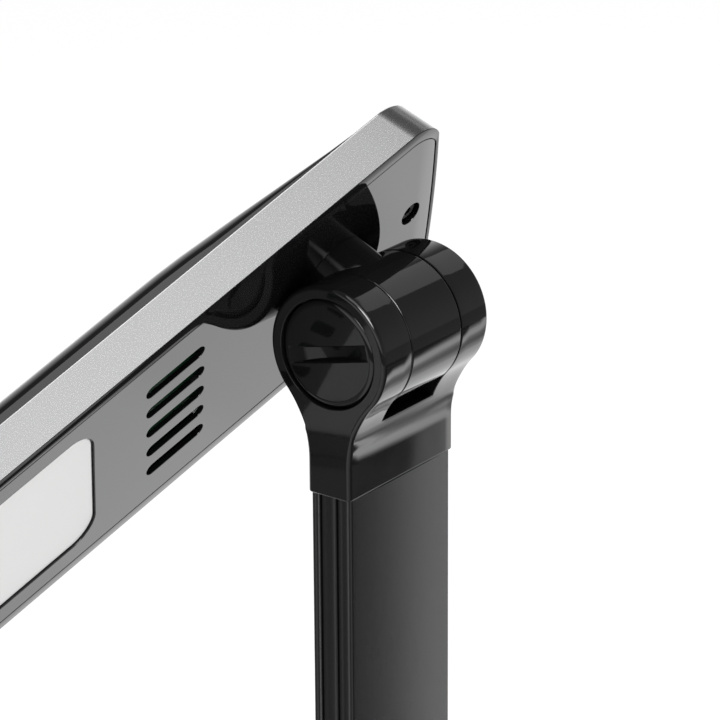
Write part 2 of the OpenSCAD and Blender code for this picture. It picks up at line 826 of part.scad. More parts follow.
module swivel_nut() {
    color("#b4b4b6") on_head() translate([0, 0, swivel_nut_z]) difference() {
        cylinder(d = swivel_flats / cos(30), h = swivel_nut_h, $fn = 6);
        translate([0, 0, -cut]) cylinder(r = stud_r, h = swivel_nut_h + 2 * cut);
    }
}

module neck_lead() {
    turn = stud_foot - pocket_h / 2;
    color("#2c2c30") on_neck() lead_path([
        [0, lead_side, 3 - hinge_r], [0, lead_side, turn], [0, 0, turn], [0, 0, stud_top - 1]
    ]);
}

// Head
module head_frame() {
    color("#8d8f94") on_head() difference() {
        linear_extrude(band_h) head_plan(0, 0);
        translate([0, 0, -cut]) linear_extrude(panel_t + cut) head_plan(lip_side, lip_end);
        linear_extrude(ledge_top + cut) head_plan(lip_side + ledge_in, lip_end + ledge_in);
        translate([0, 0, ledge_top]) linear_extrude(band_h) head_plan(band_wall, band_wall);
        for (x = [-1, 1], y = [-1, 1])
            translate([x * (seat_len / 2 - 5), y * (ledge_half + ledge_in / 2 + 0.4), 0])
                translate([0, 0, panel_t]) cylinder(r = 0.8, h = band_h, $fn = 32);
    }
}

module vent_slot() {
    square([vent_len - vent_w, vent_w], center = true);
    for (side = [-1, 1]) translate([side * (vent_len - vent_w) / 2, 0]) circle(d = vent_w, $fn = 48);
}

module bottom_panel() {
    color("#2c2d30") on_head() difference() {
        union() {
            linear_extrude(panel_t) head_plan(lip_side + panel_gap, lip_end + panel_gap);
            for (x = panel_screw_x) translate([x, 0, 0]) cylinder(r = cup_r, h = cup_top, $fn = 48);
        }
        for (x = panel_screw_x) translate([x, 0, -cut]) {
            cylinder(r = screw_hole_r, h = cup_floor + cut, $fn = 48);
            cylinder(r = small_r + 0.2, h = band_h, $fn = 48);
        }
        translate([0, 0, -cut]) {
            cylinder(r = stud_r + hinge_gap, h = band_h);
            linear_extrude(band_h) diffuser_plan(diffuser_gap);
            for (i = [0 : vent_count - 1])
                translate([vent_start + vent_len / 2, (i - (vent_count - 1) / 2) * vent_pitch, 0])
                    linear_extrude(band_h) vent_slot();
        }
    }
}

module diffuser() {
    color("#f2f2ee") on_head() {
        translate([0, 0, diffuser_recess]) linear_extrude(guide_z - diffuser_recess) diffuser_plan(0);
        translate([0, 0, panel_t]) linear_extrude(diffuser_t) diffuser_plan(diffuser_flange);
    }
}

// Rectangle along the light, drawn in from the diffuser's flange at its ends
module light_plan(half) {
    start = diffuser_start - diffuser_flange + 0.5;
    translate([start, -half]) square([diffuser_end + diffuser_flange - 0.5 - start, 2 * half]);
}

module light_guide() {
    color("#dfe6ea") on_head() translate([0, 0, guide_z]) linear_extrude(guide_t) light_plan(guide_half);
}

module reflector_sheet() {
    color("#f8f8f8") on_head() translate([0, 0, reflector_z]) linear_extrude(reflector_t)
        light_plan(guide_half);
}

module heat_plate() {
    color("#b9bbbe") on_head() {
        translate([0, 0, heat_z]) linear_extrude(heat_t) light_plan(heat_half);
        for (side = [-1, 1]) translate([0, 0, bar_z]) linear_extrude(bar_h + heat_t / 2) intersection() {
            light_plan(heat_half);
            translate([-head_len, side * (heat_half - heat_edge / 2) - heat_edge / 2])
                square([3 * head_len, heat_edge]);
        }
    }
}

module led_bars() {
    color("#f0f0f0") on_head() for (side = [-1, 1])
        translate([0, 0, bar_z]) linear_extrude(bar_h) intersection() {
            light_plan(bar_half);
            translate([-head_len, side * (bar_half - bar_t / 2) - bar_t / 2]) square([3 * head_len, bar_t]);
        }
}

module led_chips() {
    pitch = (diffuser_end - diffuser_start) / chip_count;
    color("#f5e27a") on_head() for (side = [-1, 1], i = [0 : chip_count - 1])
        translate([
            diffuser_start + (i + 0.5) * pitch,
            side * (bar_half - bar_t - chip_t / 2),
            bar_z + bar_h / 2
        ]) cube([chip_l, chip_t, chip_h], center = true);
}

module head_board() {
    color("#1f5a38") on_head() translate([vent_start + vent_len / 2, 0, head_board_z])
        linear_extrude(board_t) rounded(head_board_l - 6, head_board_w, 2);
}

// Spacers under the corners of the board in the head
module board_clips() {
    color("#d8d8d4") on_head() for (x = [-1, 1], y = [-1, 1])
        translate([
            vent_start + vent_len / 2 + x * (head_board_l / 2 - 5),
            y * (head_board_w / 2 - 2.2),
            panel_t
        ]) cylinder(r = 1.6, h = head_board_z - panel_t, $fn = 48);
}

module swivel_seat() {
    color("#77797d") on_head() translate([0, 0, seat_z]) linear_extrude(seat_t) difference() {
        rounded(seat_len, 2 * (head_half - band_wall - 0.3), 4);
        circle(r = stud_r + hinge_gap / 2);
        for (x = [-1, 1], y = [-1, 1])
            translate([x * (seat_len / 2 - 5), y * (ledge_half + ledge_in / 2 + 0.4)])
                circle(r = 1, $fn = 32);
    }
}

module seat_screws() {
    color("#9a9a9c") on_head() for (x = [-1, 1], y = [-1, 1])
        translate([
            x * (seat_len / 2 - 5), y * (ledge_half + ledge_in / 2 + 0.4), seat_z + seat_t + small_head_h
        ]) screw_down(0.8, 2, small_head_h, seat_t + 1.5);
}

module friction_disc() {
    color("#4a4a4e") on_head() translate([0, 0, panel_t]) difference() {
        cylinder(r = disc_r, h = ledge_t);
        translate([0, 0, -cut]) cylinder(r = stud_r + hinge_gap, h = ledge_t + 2 * cut);
    }
}

module panel_screws() {
    color("#1c1c1e") on_head() for (x = panel_screw_x)
        translate([x, 0, cup_floor - small_head_h]) screw_up(small_r, small_head_r, small_head_h, 5);
}

module head_lead() {
    run_z = head_board_z + board_t + lead_r;
    run_end = vent_start + (vent_len - head_board_l) / 2 + head_lead_lap;
    color("#2c2c30") on_head() lead_path([[swivel_flats * 0.7, 0, run_z], [run_end, 0, run_z]]);
}

module top_cover() {
    color("#0f0f11") on_head() {
        difference() {
            cover_form(0);
            difference() {
                translate([0, 0, -cut]) linear_extrude(band_h + cut) square(3 * head_len, center = true);
                linear_extrude(band_h + cut) head_plan(band_wall + lip_gap, band_wall + lip_gap);
            }
            cover_form(cover_wall);
        }
        for (x = panel_screw_x) translate([x, 0, cup_top]) difference() {
            cylinder(r = cover_boss_r, h = tip_h - cover_wall / 2 - cup_top, $fn = 48);
            translate([0, 0, -cut]) cylinder(r = small_r, h = 6, $fn = 48);
        }
        if (head_h > tip_h) translate([panel_screw_x[1], 0, tip_h - cover_wall])
            cylinder(r = cover_boss_r, h = head_h - tip_h, $fn = 48);
        difference() {
            translate([0, 0, band_h - 1.2]) linear_extrude(1.2 + rim_t)
                head_plan(band_wall + lip_gap, band_wall + lip_gap);
            translate([0, 0, band_h - 2]) linear_extrude(4) head_plan(rim_in, rim_in);
        }
        difference() {
            translate([0, 0, band_h]) linear_extrude(rim_t) head_plan(cover_wall / 2, cover_wall / 2);
            translate([0, 0, band_h - cut]) linear_extrude(4) head_plan(rim_in, rim_in);
        }
    }
}

base_pad();
base_tray();
base_weight();
base_cover();
base_screws();
pedestal();
pedestal_screws();
lower_bushes();
control_panel();
control_board();
board_screws();
tact_switches();
power_inlet();
inlet_lead();
base_lead();
power_button();
colour_button();
dimmer_button();
brighter_button();
lower_yoke();
post();
upper_yoke();
lower_yoke_screws();
upper_yoke_screws();
post_lead();
lower_pivot_bolt();
lower_pivot_nut();
upper_pivot_bolt();
upper_pivot_nut();
spring_washers();
upper_left_cap();
upper_right_cap();
lower_left_cap();
lower_right_cap();
neck();
upper_bushes();
swivel_stud();
swivel_washer();
swivel_nut();
neck_lead();
head_frame();
bottom_panel();
diffuser();
light_guide();
reflector_sheet();
led_bars();
led_chips();
heat_plate();
head_board();
board_clips();
swivel_seat();
seat_screws();
friction_disc();
panel_screws();
head_lead();
top_cover();
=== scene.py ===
import json
import math

import bmesh
import bpy
from mathutils import Matrix, Vector

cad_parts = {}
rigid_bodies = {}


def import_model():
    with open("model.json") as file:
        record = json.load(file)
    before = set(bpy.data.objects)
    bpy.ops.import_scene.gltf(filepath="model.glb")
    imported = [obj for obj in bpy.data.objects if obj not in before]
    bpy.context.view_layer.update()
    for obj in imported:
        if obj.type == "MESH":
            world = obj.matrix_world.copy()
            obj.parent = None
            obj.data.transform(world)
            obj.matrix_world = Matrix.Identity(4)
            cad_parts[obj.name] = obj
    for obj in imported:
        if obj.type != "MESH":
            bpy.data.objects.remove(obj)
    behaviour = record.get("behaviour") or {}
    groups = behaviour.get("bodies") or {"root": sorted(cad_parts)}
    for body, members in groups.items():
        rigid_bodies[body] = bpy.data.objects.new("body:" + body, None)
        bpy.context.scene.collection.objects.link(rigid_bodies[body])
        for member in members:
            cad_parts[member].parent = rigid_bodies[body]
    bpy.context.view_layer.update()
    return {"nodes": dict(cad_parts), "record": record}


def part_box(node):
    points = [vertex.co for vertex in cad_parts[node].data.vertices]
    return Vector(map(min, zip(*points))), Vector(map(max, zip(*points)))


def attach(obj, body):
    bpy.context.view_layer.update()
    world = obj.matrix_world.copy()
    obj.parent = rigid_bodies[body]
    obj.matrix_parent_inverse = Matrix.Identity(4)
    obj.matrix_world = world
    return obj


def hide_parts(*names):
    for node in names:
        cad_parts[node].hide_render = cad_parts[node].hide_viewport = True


for leftover in list(bpy.data.objects):
    bpy.data.objects.remove(leftover)

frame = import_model()
nodes = frame["nodes"]
print("frame loaded:", len(nodes), "nodes")

mm = 0.001

# Where the hinges and the head are
hinge = {
    "upper": Vector((0, -45 * mm, 398 * mm)),
    "lower": Vector((0, -45 * mm, 38 * mm)),
    "tilt": math.radians(63.3),
    "swivel": math.radians(63.3),
    "seat": 16.96 * mm,
}
upperPlace = Matrix.Translation(hinge["upper"])
lowerPlace = Matrix.Translation(hinge["lower"]) @ Matrix.Diagonal((1, 1, -1, 1))
neckPlace = upperPlace @ Matrix.Rotation(-hinge["tilt"], 4, "X")
headPlace = (
    neckPlace
    @ Matrix.Rotation(math.radians(90) + hinge["swivel"], 4, "Z")
    @ Matrix.Translation((0, 0, hinge["seat"]))
)

cameraLook = {
    "place": (-0.6614, -0.5365, 0.7108),
    "right": (0.59882, -0.80085, -0.00699),
    "up": (0.29411, 0.21178, 0.93200),
    "back": (-0.74491, -0.56018, 0.36236),
    "lens": 193.76,
}


def addCamera(look):
    data = bpy.data.cameras.new("camera")
    data.lens = look["lens"]
    data.sensor_width = 36
    data.clip_start = 0.01
    camera = bpy.data.objects.new("camera", data)
    turn = Matrix((look["right"], look["up"], look["back"])).transposed()
    camera.matrix_world = Matrix.Translation(look["place"]) @ turn.to_4x4()
    bpy.context.collection.objects.link(camera)
    bpy.context.scene.camera = camera


addCamera(cameraLook)

# Finishes, one for each material slot of the record and one for the band's top edge, a lighter and glossier
# copy of the band metal that paints a bright highlight line there
finishes = {
    "gloss_black": dict(base=(0.007, 0.007, 0.0074), rough=0.06, grain=900, bump=0.004, wave=60, swell=0.02),
    "post_black": dict(
        base=(0.0055, 0.0055, 0.0059), rough=0.22, grain=2600, bump=0.12, mottle=0.1, stretch=0.3,
    ),
    "band_metal": dict(base=(0.3, 0.3, 0.302), metal=1.0, rough=0.27, grain=1800, bump=0.015, mottle=0.02),
    # painted highlight: the band metal made lighter and smoother for the stripe under the band's top edge
    "band_edge": dict(base=(0.52, 0.52, 0.52), metal=1.0, rough=0.15, grain=900, bump=0.005, mottle=0.01),
    "panel_black": dict(base=(0.006, 0.006, 0.0065), rough=0.02, grain=700, bump=0.003, wave=30, swell=0.005),
    "diffuser_white": dict(base=(0.79, 0.79, 0.785), rough=0.3, ior=1.45, grain=3000, bump=0.03, mottle=0.01),
    "clear_acrylic": dict(base=(0.9, 0.93, 0.95), rough=0.05, ior=1.49, clear=1.0, grain=400, bump=0.01),
    "reflector_white": dict(base=(0.9, 0.9, 0.9), rough=0.4, grain=1200, bump=0.05, mottle=0.02),
    "raw_aluminium": dict(base=(0.7, 0.71, 0.72), metal=1.0, rough=0.36, grain=1400, bump=0.08, mottle=0.06),
    "steel": dict(base=(0.6, 0.6, 0.61), metal=1.0, rough=0.3, grain=1600, bump=0.06, mottle=0.08),
    "bronze_bush": dict(base=(0.46, 0.34, 0.16), metal=1.0, rough=0.42, grain=2200, bump=0.15, mottle=0.2),
    "iron_weight": dict(base=(0.05, 0.05, 0.054), metal=0.2, rough=0.55, grain=700, bump=0.4, mottle=0.25),
    "tray_black": dict(base=(0.02, 0.02, 0.021), rough=0.5, grain=1500, bump=0.15, mottle=0.1),
    "pad_rubber": dict(base=(0.012, 0.012, 0.0125), rough=0.75, grain=900, bump=0.3, mottle=0.15),
    "board_green": dict(base=(0.012, 0.075, 0.03), rough=0.32, grain=500, bump=0.05, mottle=0.25),
    "switch_black": dict(base=(0.015, 0.015, 0.016), rough=0.4, grain=1500, bump=0.08, mottle=0.08),
    "button_white": dict(base=(0.74, 0.74, 0.75), rough=0.22, grain=1400, bump=0.02, mottle=0.01),
    "lead_grey": dict(base=(0.02, 0.02, 0.022), rough=0.5, grain=900, bump=0.1, mottle=0.1),
    "chip_yellow": dict(base=(0.85, 0.62, 0.12), rough=0.35, grain=2400, bump=0.05, mottle=0.05),
    "bar_white": dict(base=(0.78, 0.79, 0.79), rough=0.45, grain=1200, bump=0.05, mottle=0.03),
    "friction_grey": dict(base=(0.05, 0.05, 0.052), rough=0.7, grain=1600, bump=0.25, mottle=0.2),
    "inlet_black": dict(base=(0.012, 0.012, 0.0125), rough=0.42, grain=1400, bump=0.1, mottle=0.08),
    "screw_black": dict(base=(0.003, 0.003, 0.0035), metal=0.0, rough=0.6, grain=1600, bump=0.1, mottle=0.1),
}


def link(tree, *pairs):
    for start, end in pairs:
        tree.links.new(start, end)


def mathNode(tree, operation, first, second):
    node = tree.nodes.new("ShaderNodeMath")
    node.operation = operation
    for index, value in enumerate((first, second)):
        if isinstance(value, (int, float)):
            node.inputs[index].default_value = value
        else:
            tree.links.new(value, node.inputs[index])
    return node.outputs[0]


def spread(tree, source, low, high):
    reach = tree.nodes.new("ShaderNodeMapRange")
    reach.inputs["From Min"].default_value = 0.3
    reach.inputs["From Max"].default_value = 0.7
    reach.inputs["To Min"].default_value = low
    reach.inputs["To Max"].default_value = high
    tree.links.new(source, reach.inputs["Value"])
    return reach.outputs["Result"]


def noiseOn(tree, place, scale, detail):
    noise = tree.nodes.new("ShaderNodeTexNoise")
    noise.inputs["Scale"].default_value = scale
    noise.inputs["Detail"].default_value = detail
    tree.links.new(place, noise.inputs["Vector"])
    return noise.outputs["Fac"]


def makeFinish(slot, look):
    material = bpy.data.materials.new(slot)
    material.use_nodes = True
    tree = material.node_tree
    shader = tree.nodes["Principled BSDF"]
    shader.inputs["Metallic"].default_value = look.get("metal", 0.0)
    shader.inputs["IOR"].default_value = look.get("ior", 1.5)
    shader.inputs["Transmission Weight"].default_value = look.get("clear", 0.0)
    place = tree.nodes.new("ShaderNodeTexCoord").outputs["Object"]
    if look.get("stretch"):  # streaks along an extrusion
        mapping = tree.nodes.new("ShaderNodeMapping")
        mapping.inputs["Scale"].default_value = (1, 1, look["stretch"])
        tree.links.new(place, mapping.inputs["Vector"])
        place = mapping.outputs["Vector"]
    grain = noiseOn(tree, place, look["grain"], 3)
    mottle = look.get("mottle", 0.02)
    shade = tree.nodes.new("ShaderNodeVectorMath")
    shade.operation = "SCALE"
    shade.inputs[0].default_value = look["base"]
    tree.links.new(spread(tree, grain, 1 - mottle, 1 + mottle), shade.inputs["Scale"])
    rough = spread(tree, grain, look["rough"] * 0.92, look["rough"] * 1.08)
    link(tree, (shade.outputs["Vector"], shader.inputs["Base Color"]), (rough, shader.inputs["Roughness"]))
    bump = tree.nodes.new("ShaderNodeBump")
    bump.inputs["Strength"].default_value = look.get("bump", 0.05)
    bump.inputs["Distance"].default_value = 0.1 * mm
    tree.links.new(grain, bump.inputs["Height"])
    if look.get("wave"):  # the slow swell of a moulded face
        swell = tree.nodes.new("ShaderNodeBump")
        swell.inputs["Strength"].default_value = look["swell"]
        swell.inputs["Distance"].default_value = 2 * mm
        tree.links.new(noiseOn(tree, place, look["wave"], 1), swell.inputs["Height"])
        tree.links.new(swell.outputs["Normal"], bump.inputs["Normal"])
    tree.links.new(bump.outputs["Normal"], shader.inputs["Normal"])
    return material


materials = {slot: makeFinish(slot, look) for slot, look in finishes.items()}
slotOf = {part["node"]: part["material_slot"] for part in frame["record"]["subparts"]}


def paint(piece, *slots):
    piece.data.materials.clear()
    for slot in slots:
        piece.data.materials.append(materials[slot])


for name, node in nodes.items():
    paint(node, slotOf[name])
print("finishes set:", len(materials))


# Forms are bmesh solids; a place that mirrors turns the faces back
def turnForm(form, place):
    form.transform(place)
    if place.determinant() < 0:
        bmesh.ops.reverse_faces(form, faces=form.faces)


# A merged copy of a CAD node, seen from its own place
def copyForm(node, place=Matrix.Identity(4)):
    form = bmesh.new()
    form.from_mesh(nodes[node].data)
    bmesh.ops.remove_doubles(form, verts=form.verts, dist=0.002 * mm)
    bmesh.ops.dissolve_limit(form, angle_limit=math.radians(0.2), verts=form.verts, edges=form.edges)
    turnForm(form, place.inverted())
    return form


def roundEdges(form, width, pick, steps=3):
    chosen = [
        edge for edge in form.edges
        if len(edge.link_faces) == 2 and edge.calc_face_angle_signed() > 0.6 and pick(edge)
    ]
    bmesh.ops.bevel(
        form, geom=chosen, offset=width, offset_type="OFFSET", segments=steps, profile=0.5,
        affect="EDGES", clamp_overlap=False,
    )


# Cuts faces at each x, so that they can be bent
def sliceForm(form, places):
    for x in places:
        bmesh.ops.bisect_plane(
            form, geom=form.verts[:] + form.edges[:] + form.faces[:], dist=0.001 * mm,
            plane_co=(x, 0, 0), plane_no=(1, 0, 0),
        )


def addPiece(name, form, place, body, *slots, replaces=()):
    turnForm(form, place)
    mesh = bpy.data.meshes.new(name)
    for slot in slots:
        mesh.materials.append(materials[slot])
    form.to_mesh(mesh)
    form.free()
    if "custom_normal" in mesh.attributes:
        mesh.attributes.remove(mesh.attributes["custom_normal"])
    mesh.shade_smooth()
    mesh.set_sharp_from_angle(angle=math.radians(35))
    piece = bpy.data.objects.new(name, mesh)
    bpy.context.collection.objects.link(piece)
    weigh = piece.modifiers.new("even shading", "WEIGHTED_NORMAL")
    weigh.keep_sharp = True
    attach(piece, body)
    if replaces:
        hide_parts(*replaces)


# A finer form in a CAD node's place
def dressNode(node, form, place, body, *slots, kind="formed"):
    addPiece(f"{node}.{kind}", form, place, body, *slots, replaces=[node])


# A closed solid through rings of as many points each
def loftForm(rings, closed=False):
    form = bmesh.new()
    loops = [[form.verts.new(point) for point in ring] for ring in rings]
    count = len(loops[0])
    pairs = list(zip(loops, loops[1:])) + ([(loops[-1], loops[0])] if closed else [])
    for low, high in pairs:
        for i in range(count):
            j = (i + 1) % count
            form.faces.new((low[i], low[j], high[j], high[i]))
    if not closed:
        form.faces.new(loops[0])
        form.faces.new(loops[-1])
    bmesh.ops.recalc_face_normals(form, faces=form.faces)
    return form


def circleRing(radius, x, count=96):
    turns = [2 * math.pi * i / count for i in range(count)]
    return [(x, radius * math.cos(turn), radius * math.sin(turn)) for turn in turns]


def asObject(name, form):
    mesh = bpy.data.meshes.new(name)
    form.to_mesh(mesh)
    form.free()
    thing = bpy.data.objects.new(name, mesh)
    bpy.context.collection.objects.link(thing)
    return thing


def evaluatedForm(thing):
    graph = bpy.context.evaluated_depsgraph_get()
    mesh = bpy.data.meshes.new_from_object(thing.evaluated_get(graph))
    form = bmesh.new()
    form.from_mesh(mesh)
    bpy.data.meshes.remove(mesh)
    return form


def cutForm(form, *cutters):
    body = asObject("cut body", form)
    tools = [asObject("cutter", cutter) for cutter in cutters]
    for tool in tools:
        cut = body.modifiers.new("cut", "BOOLEAN")
        cut.object = tool
        cut.solver = "EXACT"
    result = evaluatedForm(body)
    for thing in [body] + tools:
        bpy.data.objects.remove(thing)
    return result


# Yokes: a broad rounding on the outer rim, fine ones at the window, the bores and the foot
yokeLook = {
    "half": 20.1 * mm,
    "foot": -34.7 * mm,
    "rim": 1.1 * mm,
    "window": 0.3 * mm,
    "bore": 0.25 * mm,
    "footEdge": 0.5 * mm,
    "crown": 0.34 * mm,
    "crownTop": -15 * mm,
    "crownFull": -21 * mm,
    "slicePitch": 4.2 * mm,
    "facesFrom": 6.6 * mm,
    "windowHalf": 9.9 * mm,
    "windowReach": 15.8 * mm,
    "outerReach": 14.5 * mm,
    "boreReach": (12.5 * mm, 13.5 * mm),
}


# The faces over the post are crowned from side to side
def crownYoke(form, look):
    sliceForm(form, [look["slicePitch"] * step for step in range(-4, 5)])
    for vert in form.verts:
        x, y, z = vert.co
        share = min(max(0, (look["crownTop"] - z) / (look["crownTop"] - look["crownFull"])), 1)
        if abs(y) > look["facesFrom"]:
            vert.co.y -= math.copysign(look["crown"], y) * (x / look["half"]) ** 2 * share


def makeYoke(node, place, look):
    form = copyForm(node, place)
    side = look["half"] - 0.05 * mm
    foot = look["foot"] + 0.05 * mm
    boreFrom, boreTo = look["boreReach"]

    def reach(edge):
        return min(math.hypot(v.co.y, v.co.z) for v in edge.verts)

    def onSide(edge):
        return all(abs(v.co.x) > side for v in edge.verts)

    def onFoot(edge):
        return all(v.co.z < foot for v in edge.verts)

    def atWindow(edge):
        inside = all(abs(v.co.x) < look["windowHalf"] for v in edge.verts)
        low = max(v.co.z for v in edge.verts) < -17 * mm
        return inside and not onFoot(edge) and reach(edge) > look["windowReach"] and (
            not low or min(abs(v.co.y) for v in edge.verts) > 6 * mm
        )

    roundEdges(
        form, look["rim"],
        lambda edge: onSide(edge) and reach(edge) > look["outerReach"] and not onFoot(edge), 5,
    )
    roundEdges(form, look["bore"], lambda edge: onSide(edge) and boreFrom < reach(edge) < boreTo, 2)
    roundEdges(form, look["window"], atWindow, 2)
    roundEdges(form, look["footEdge"], lambda edge: onFoot(edge) and all(
        abs(v.co.y) > 5 * mm or abs(v.co.x) > 18 * mm for v in edge.verts
    ), 4)
    crownYoke(form, look)
    dressNode(node, form, place, "arm", "gloss_black")


makeYoke("upper_yoke", upperPlace, yokeLook)
makeYoke("lower_yoke", lowerPlace, yokeLook)
print("yokes made")

# Hinge caps: crowned, with a soft edge and a coin slot
capLook = {
    "radius": 12.75 * mm,
    "back": 16.9 * mm,
    "middle": 20.15 * mm,
    "crown": 0.45 * mm,
    "edgeWide": 1.7 * mm,
    "edgeDeep": 0.95 * mm,
    "skirt": 7.2 * mm,
    "skirtWall": 0.9 * mm,
    "skirtEnd": 12.5 * mm,
    "slotLength": 22 * mm,
    "slotWidth": 3.5 * mm,
    "slotFloor": 17.95 * mm,
    "slotTurn": math.radians(-13.3),
    "slotEdge": 0.28 * mm,
    "slotSteps": 64,
}


def crownAt(look, reach):
    return look["middle"] - look["crown"] * (reach / look["radius"]) ** 2


# The slot's cutter follows the coin below and the crown above, where it flares
def slotCutter(look):
    edge, half = look["slotEdge"], look["slotWidth"] / 2
    dip = crownAt(look, look["slotLength"] / 2) - look["slotFloor"]
    coin = ((look["slotLength"] / 2) ** 2 + dip**2) / (2 * dip)
    end = look["slotLength"] / 2 + 1.2 * edge
    rings = []
    for step in range(look["slotSteps"] + 1):
        along = end * (2 * step / look["slotSteps"] - 1)
        face = crownAt(look, abs(along))
        floor = look["slotFloor"] + coin - math.sqrt(coin**2 - along**2)
        shoulder = max(face - edge, floor + 0.02 * mm)
        flare = half + shoulder - (face - edge)
        top = face + edge + 0.3 * mm
        wide = half + top - (face - edge)
        rings.append([
            (floor, along, -half), (shoulder, along, -flare), (top, along, -wide),
            (top, along, wide), (shoulder, along, flare), (floor, along, half),
        ])
    return loftForm(rings)


def capForm(look):
    rings = [circleRing(1 * mm, look["back"])]
    inner = look["skirt"] - look["skirtWall"]
    rings += [circleRing(inner, look["back"]), circleRing(inner, look["skirtEnd"])]
    rings += [circleRing(look["skirt"], look["skirtEnd"]), circleRing(look["skirt"], look["back"])]
    rings += [circleRing(look["radius"] - 0.2 * mm, look["back"])]
    rings += [circleRing(look["radius"], look["back"] + 0.2 * mm)]
    flat = look["radius"] - look["edgeWide"]
    shoulder = crownAt(look, flat)
    for step in range(9):
        turn = math.pi / 2 * step / 8
        radius = flat + look["edgeWide"] * math.cos(turn)
        rings.append(circleRing(radius, shoulder - look["edgeDeep"] * (1 - math.sin(turn))))
    for share in (0.94, 0.86, 0.76, 0.64, 0.5, 0.35, 0.2, 0.06):
        rings.append(circleRing(flat * share, crownAt(look, flat * share)))
    cutter = slotCutter(look)
    cutter.transform(Matrix.Rotation(look["slotTurn"], 4, "X"))
    return cutForm(loftForm(rings), cutter)


def makeCaps():
    for level, place in (("upper", upperPlace), ("lower", lowerPlace)):
        for side, sign in (("left", -1), ("right", 1)):
            node = f"{level}_{side}_cap"
            mirror = Matrix.Diagonal((sign, 1, 1, 1))
            dressNode(node, capForm(capLook), place @ mirror, node, "gloss_black")


makeCaps()
print("caps made")

# Knuckles: the neck over the upper hinge and the pedestal under the lower one
knuckleLook = {
    "half": 9.4 * mm,
    "radius": 16 * mm,
    "rim": 0.45 * mm,
    "top": 16.66 * mm,
    "topEdge": 0.1 * mm,
    "lift": 0.27 * mm,
}


def makeKnuckle(node, place, body, look):
    form = copyForm(node, place)
    side, outer = look["half"] - 0.05 * mm, look["radius"] - 0.2 * mm
    roundEdges(form, look["rim"], lambda edge: all(
        abs(v.co.x) > side and math.hypot(v.co.y, v.co.z) > outer for v in edge.verts
    ))
    if node == "neck":  # the block's top, lifted to the head
        roundEdges(form, look["topEdge"], lambda edge: all(
            v.co.z > look["top"] - 0.02 * mm and math.hypot(v.co.x, v.co.y) > 7 * mm for v in edge.verts
        ), 2)
        for vert in form.verts:
            if vert.co.z > look["top"] - 0.4 * mm:
                vert.co.z += look["lift"]
    dressNode(node, form, place, body, "gloss_black")


makeKnuckle("neck", neckPlace, "neck", knuckleLook)
makeKnuckle("pedestal", lowerPlace, "base", knuckleLook)
print("knuckles made")


# Node trees: a helper that makes one with named inputs
def makeTree(name, **sizes):
    tree = bpy.data.node_groups.new(name, "GeometryNodeTree")
    tree.interface.new_socket("Geometry", in_out="INPUT", socket_type="NodeSocketGeometry")
    for label, kind in sizes.items():
        tree.interface.new_socket(label, in_out="INPUT", socket_type="NodeSocket" + kind)
    tree.interface.new_socket("Finish", in_out="INPUT", socket_type="NodeSocketMaterial")
    tree.interface.new_socket("Geometry", in_out="OUTPUT", socket_type="NodeSocketGeometry")
    return tree, tree.nodes.new("NodeGroupInput"), tree.nodes.new("NodeGroupOutput")


def finishTree(tree, result, source, output):
    realize = tree.nodes.new("GeometryNodeRealizeInstances")
    colour = tree.nodes.new("GeometryNodeSetMaterial")
    link(
        tree, (result, realize.inputs["Geometry"]), (realize.outputs["Geometry"], colour.inputs["Geometry"]),
        (source.outputs["Finish"], colour.inputs["Material"]),
        (colour.outputs["Geometry"], output.inputs["Geometry"]),
    )
    return tree


# Sets inputs by their identifiers, bakes the result to a form and clears up
def growForm(name, seedForm, tree, values):
    seed = asObject(name, seedForm)
    grow = seed.modifiers.new(name, "NODES")
    grow.node_group = tree
    for item in tree.interface.items_tree:
        if item.in_out == "INPUT" and item.name in values:
            grow[item.identifier] = values[item.name]
    form = evaluatedForm(seed)
    bpy.data.objects.remove(seed)
    return form


# Post: one section with grooves and shallow flutes, drawn out to its length
postLook = {
    "width": 38 * mm,
    "depth": 12 * mm,
    "corner": 0.5 * mm,
    "length": 290.6 * mm,
    "foot": 72.7 * mm,
    "grooveWidth": 0.7 * mm,
    "grooveDepth": 0.5 * mm,
    "groovePitch": 4.6 * mm,
    "grooveShift": 0.6 * mm,
    "fluteDepth": 0.22 * mm,
    "fluteEdge": 0.3 * mm,
    "crown": 0.32 * mm,
}


def narrowFace(look):
    half = look["depth"] / 2
    middle = [look["grooveShift"] + row * look["groovePitch"] / 2 for row in (-1, 1)]
    gap = look["grooveWidth"] / 2
    reach = half - look["corner"] - look["crown"]
    lands = [(-reach, middle[0] - gap), (middle[0] + gap, middle[1] - gap)]
    lands.append((middle[1] + gap, reach))
    points = []
    for index, (start, end) in enumerate(lands):
        first, last = start + look["fluteEdge"], end - look["fluteEdge"]
        points.append((0, start))
        for step in range(9):
            share = step / 8
            points.append((look["fluteDepth"] * 4 * share * (1 - share), first + (last - first) * share))
        points.append((0, end))
        if index < 2:
            points.append((look["grooveDepth"], end + 0.1 * mm))
            points.append((look["grooveDepth"], lands[index + 1][0] - 0.1 * mm))
    return points


def postSection(look):
    half, back, corner = look["width"] / 2, look["depth"] / 2, look["corner"]
    right = [(half - inset, y) for inset, y in narrowFace(look)]
    left = [(-x, y) for x, y in reversed(right)]
    arc = [math.pi / 2 * step / 5 for step in range(1, 5)]
    edge = back - look["crown"]
    front = [(half - corner + corner * math.cos(a), edge - corner + corner * math.sin(a)) for a in arc]
    flat = half - corner
    wide = [(flat * (1 - step / 12), back - look["crown"] * (1 - step / 12) ** 2) for step in range(25)]
    section = right + front + wide
    section += [(-x, y) for x, y in reversed(front)] + left
    section += [(-x, -y) for x, y in front + wide]
    section += [(x, -y) for x, y in reversed(front)]
    return section


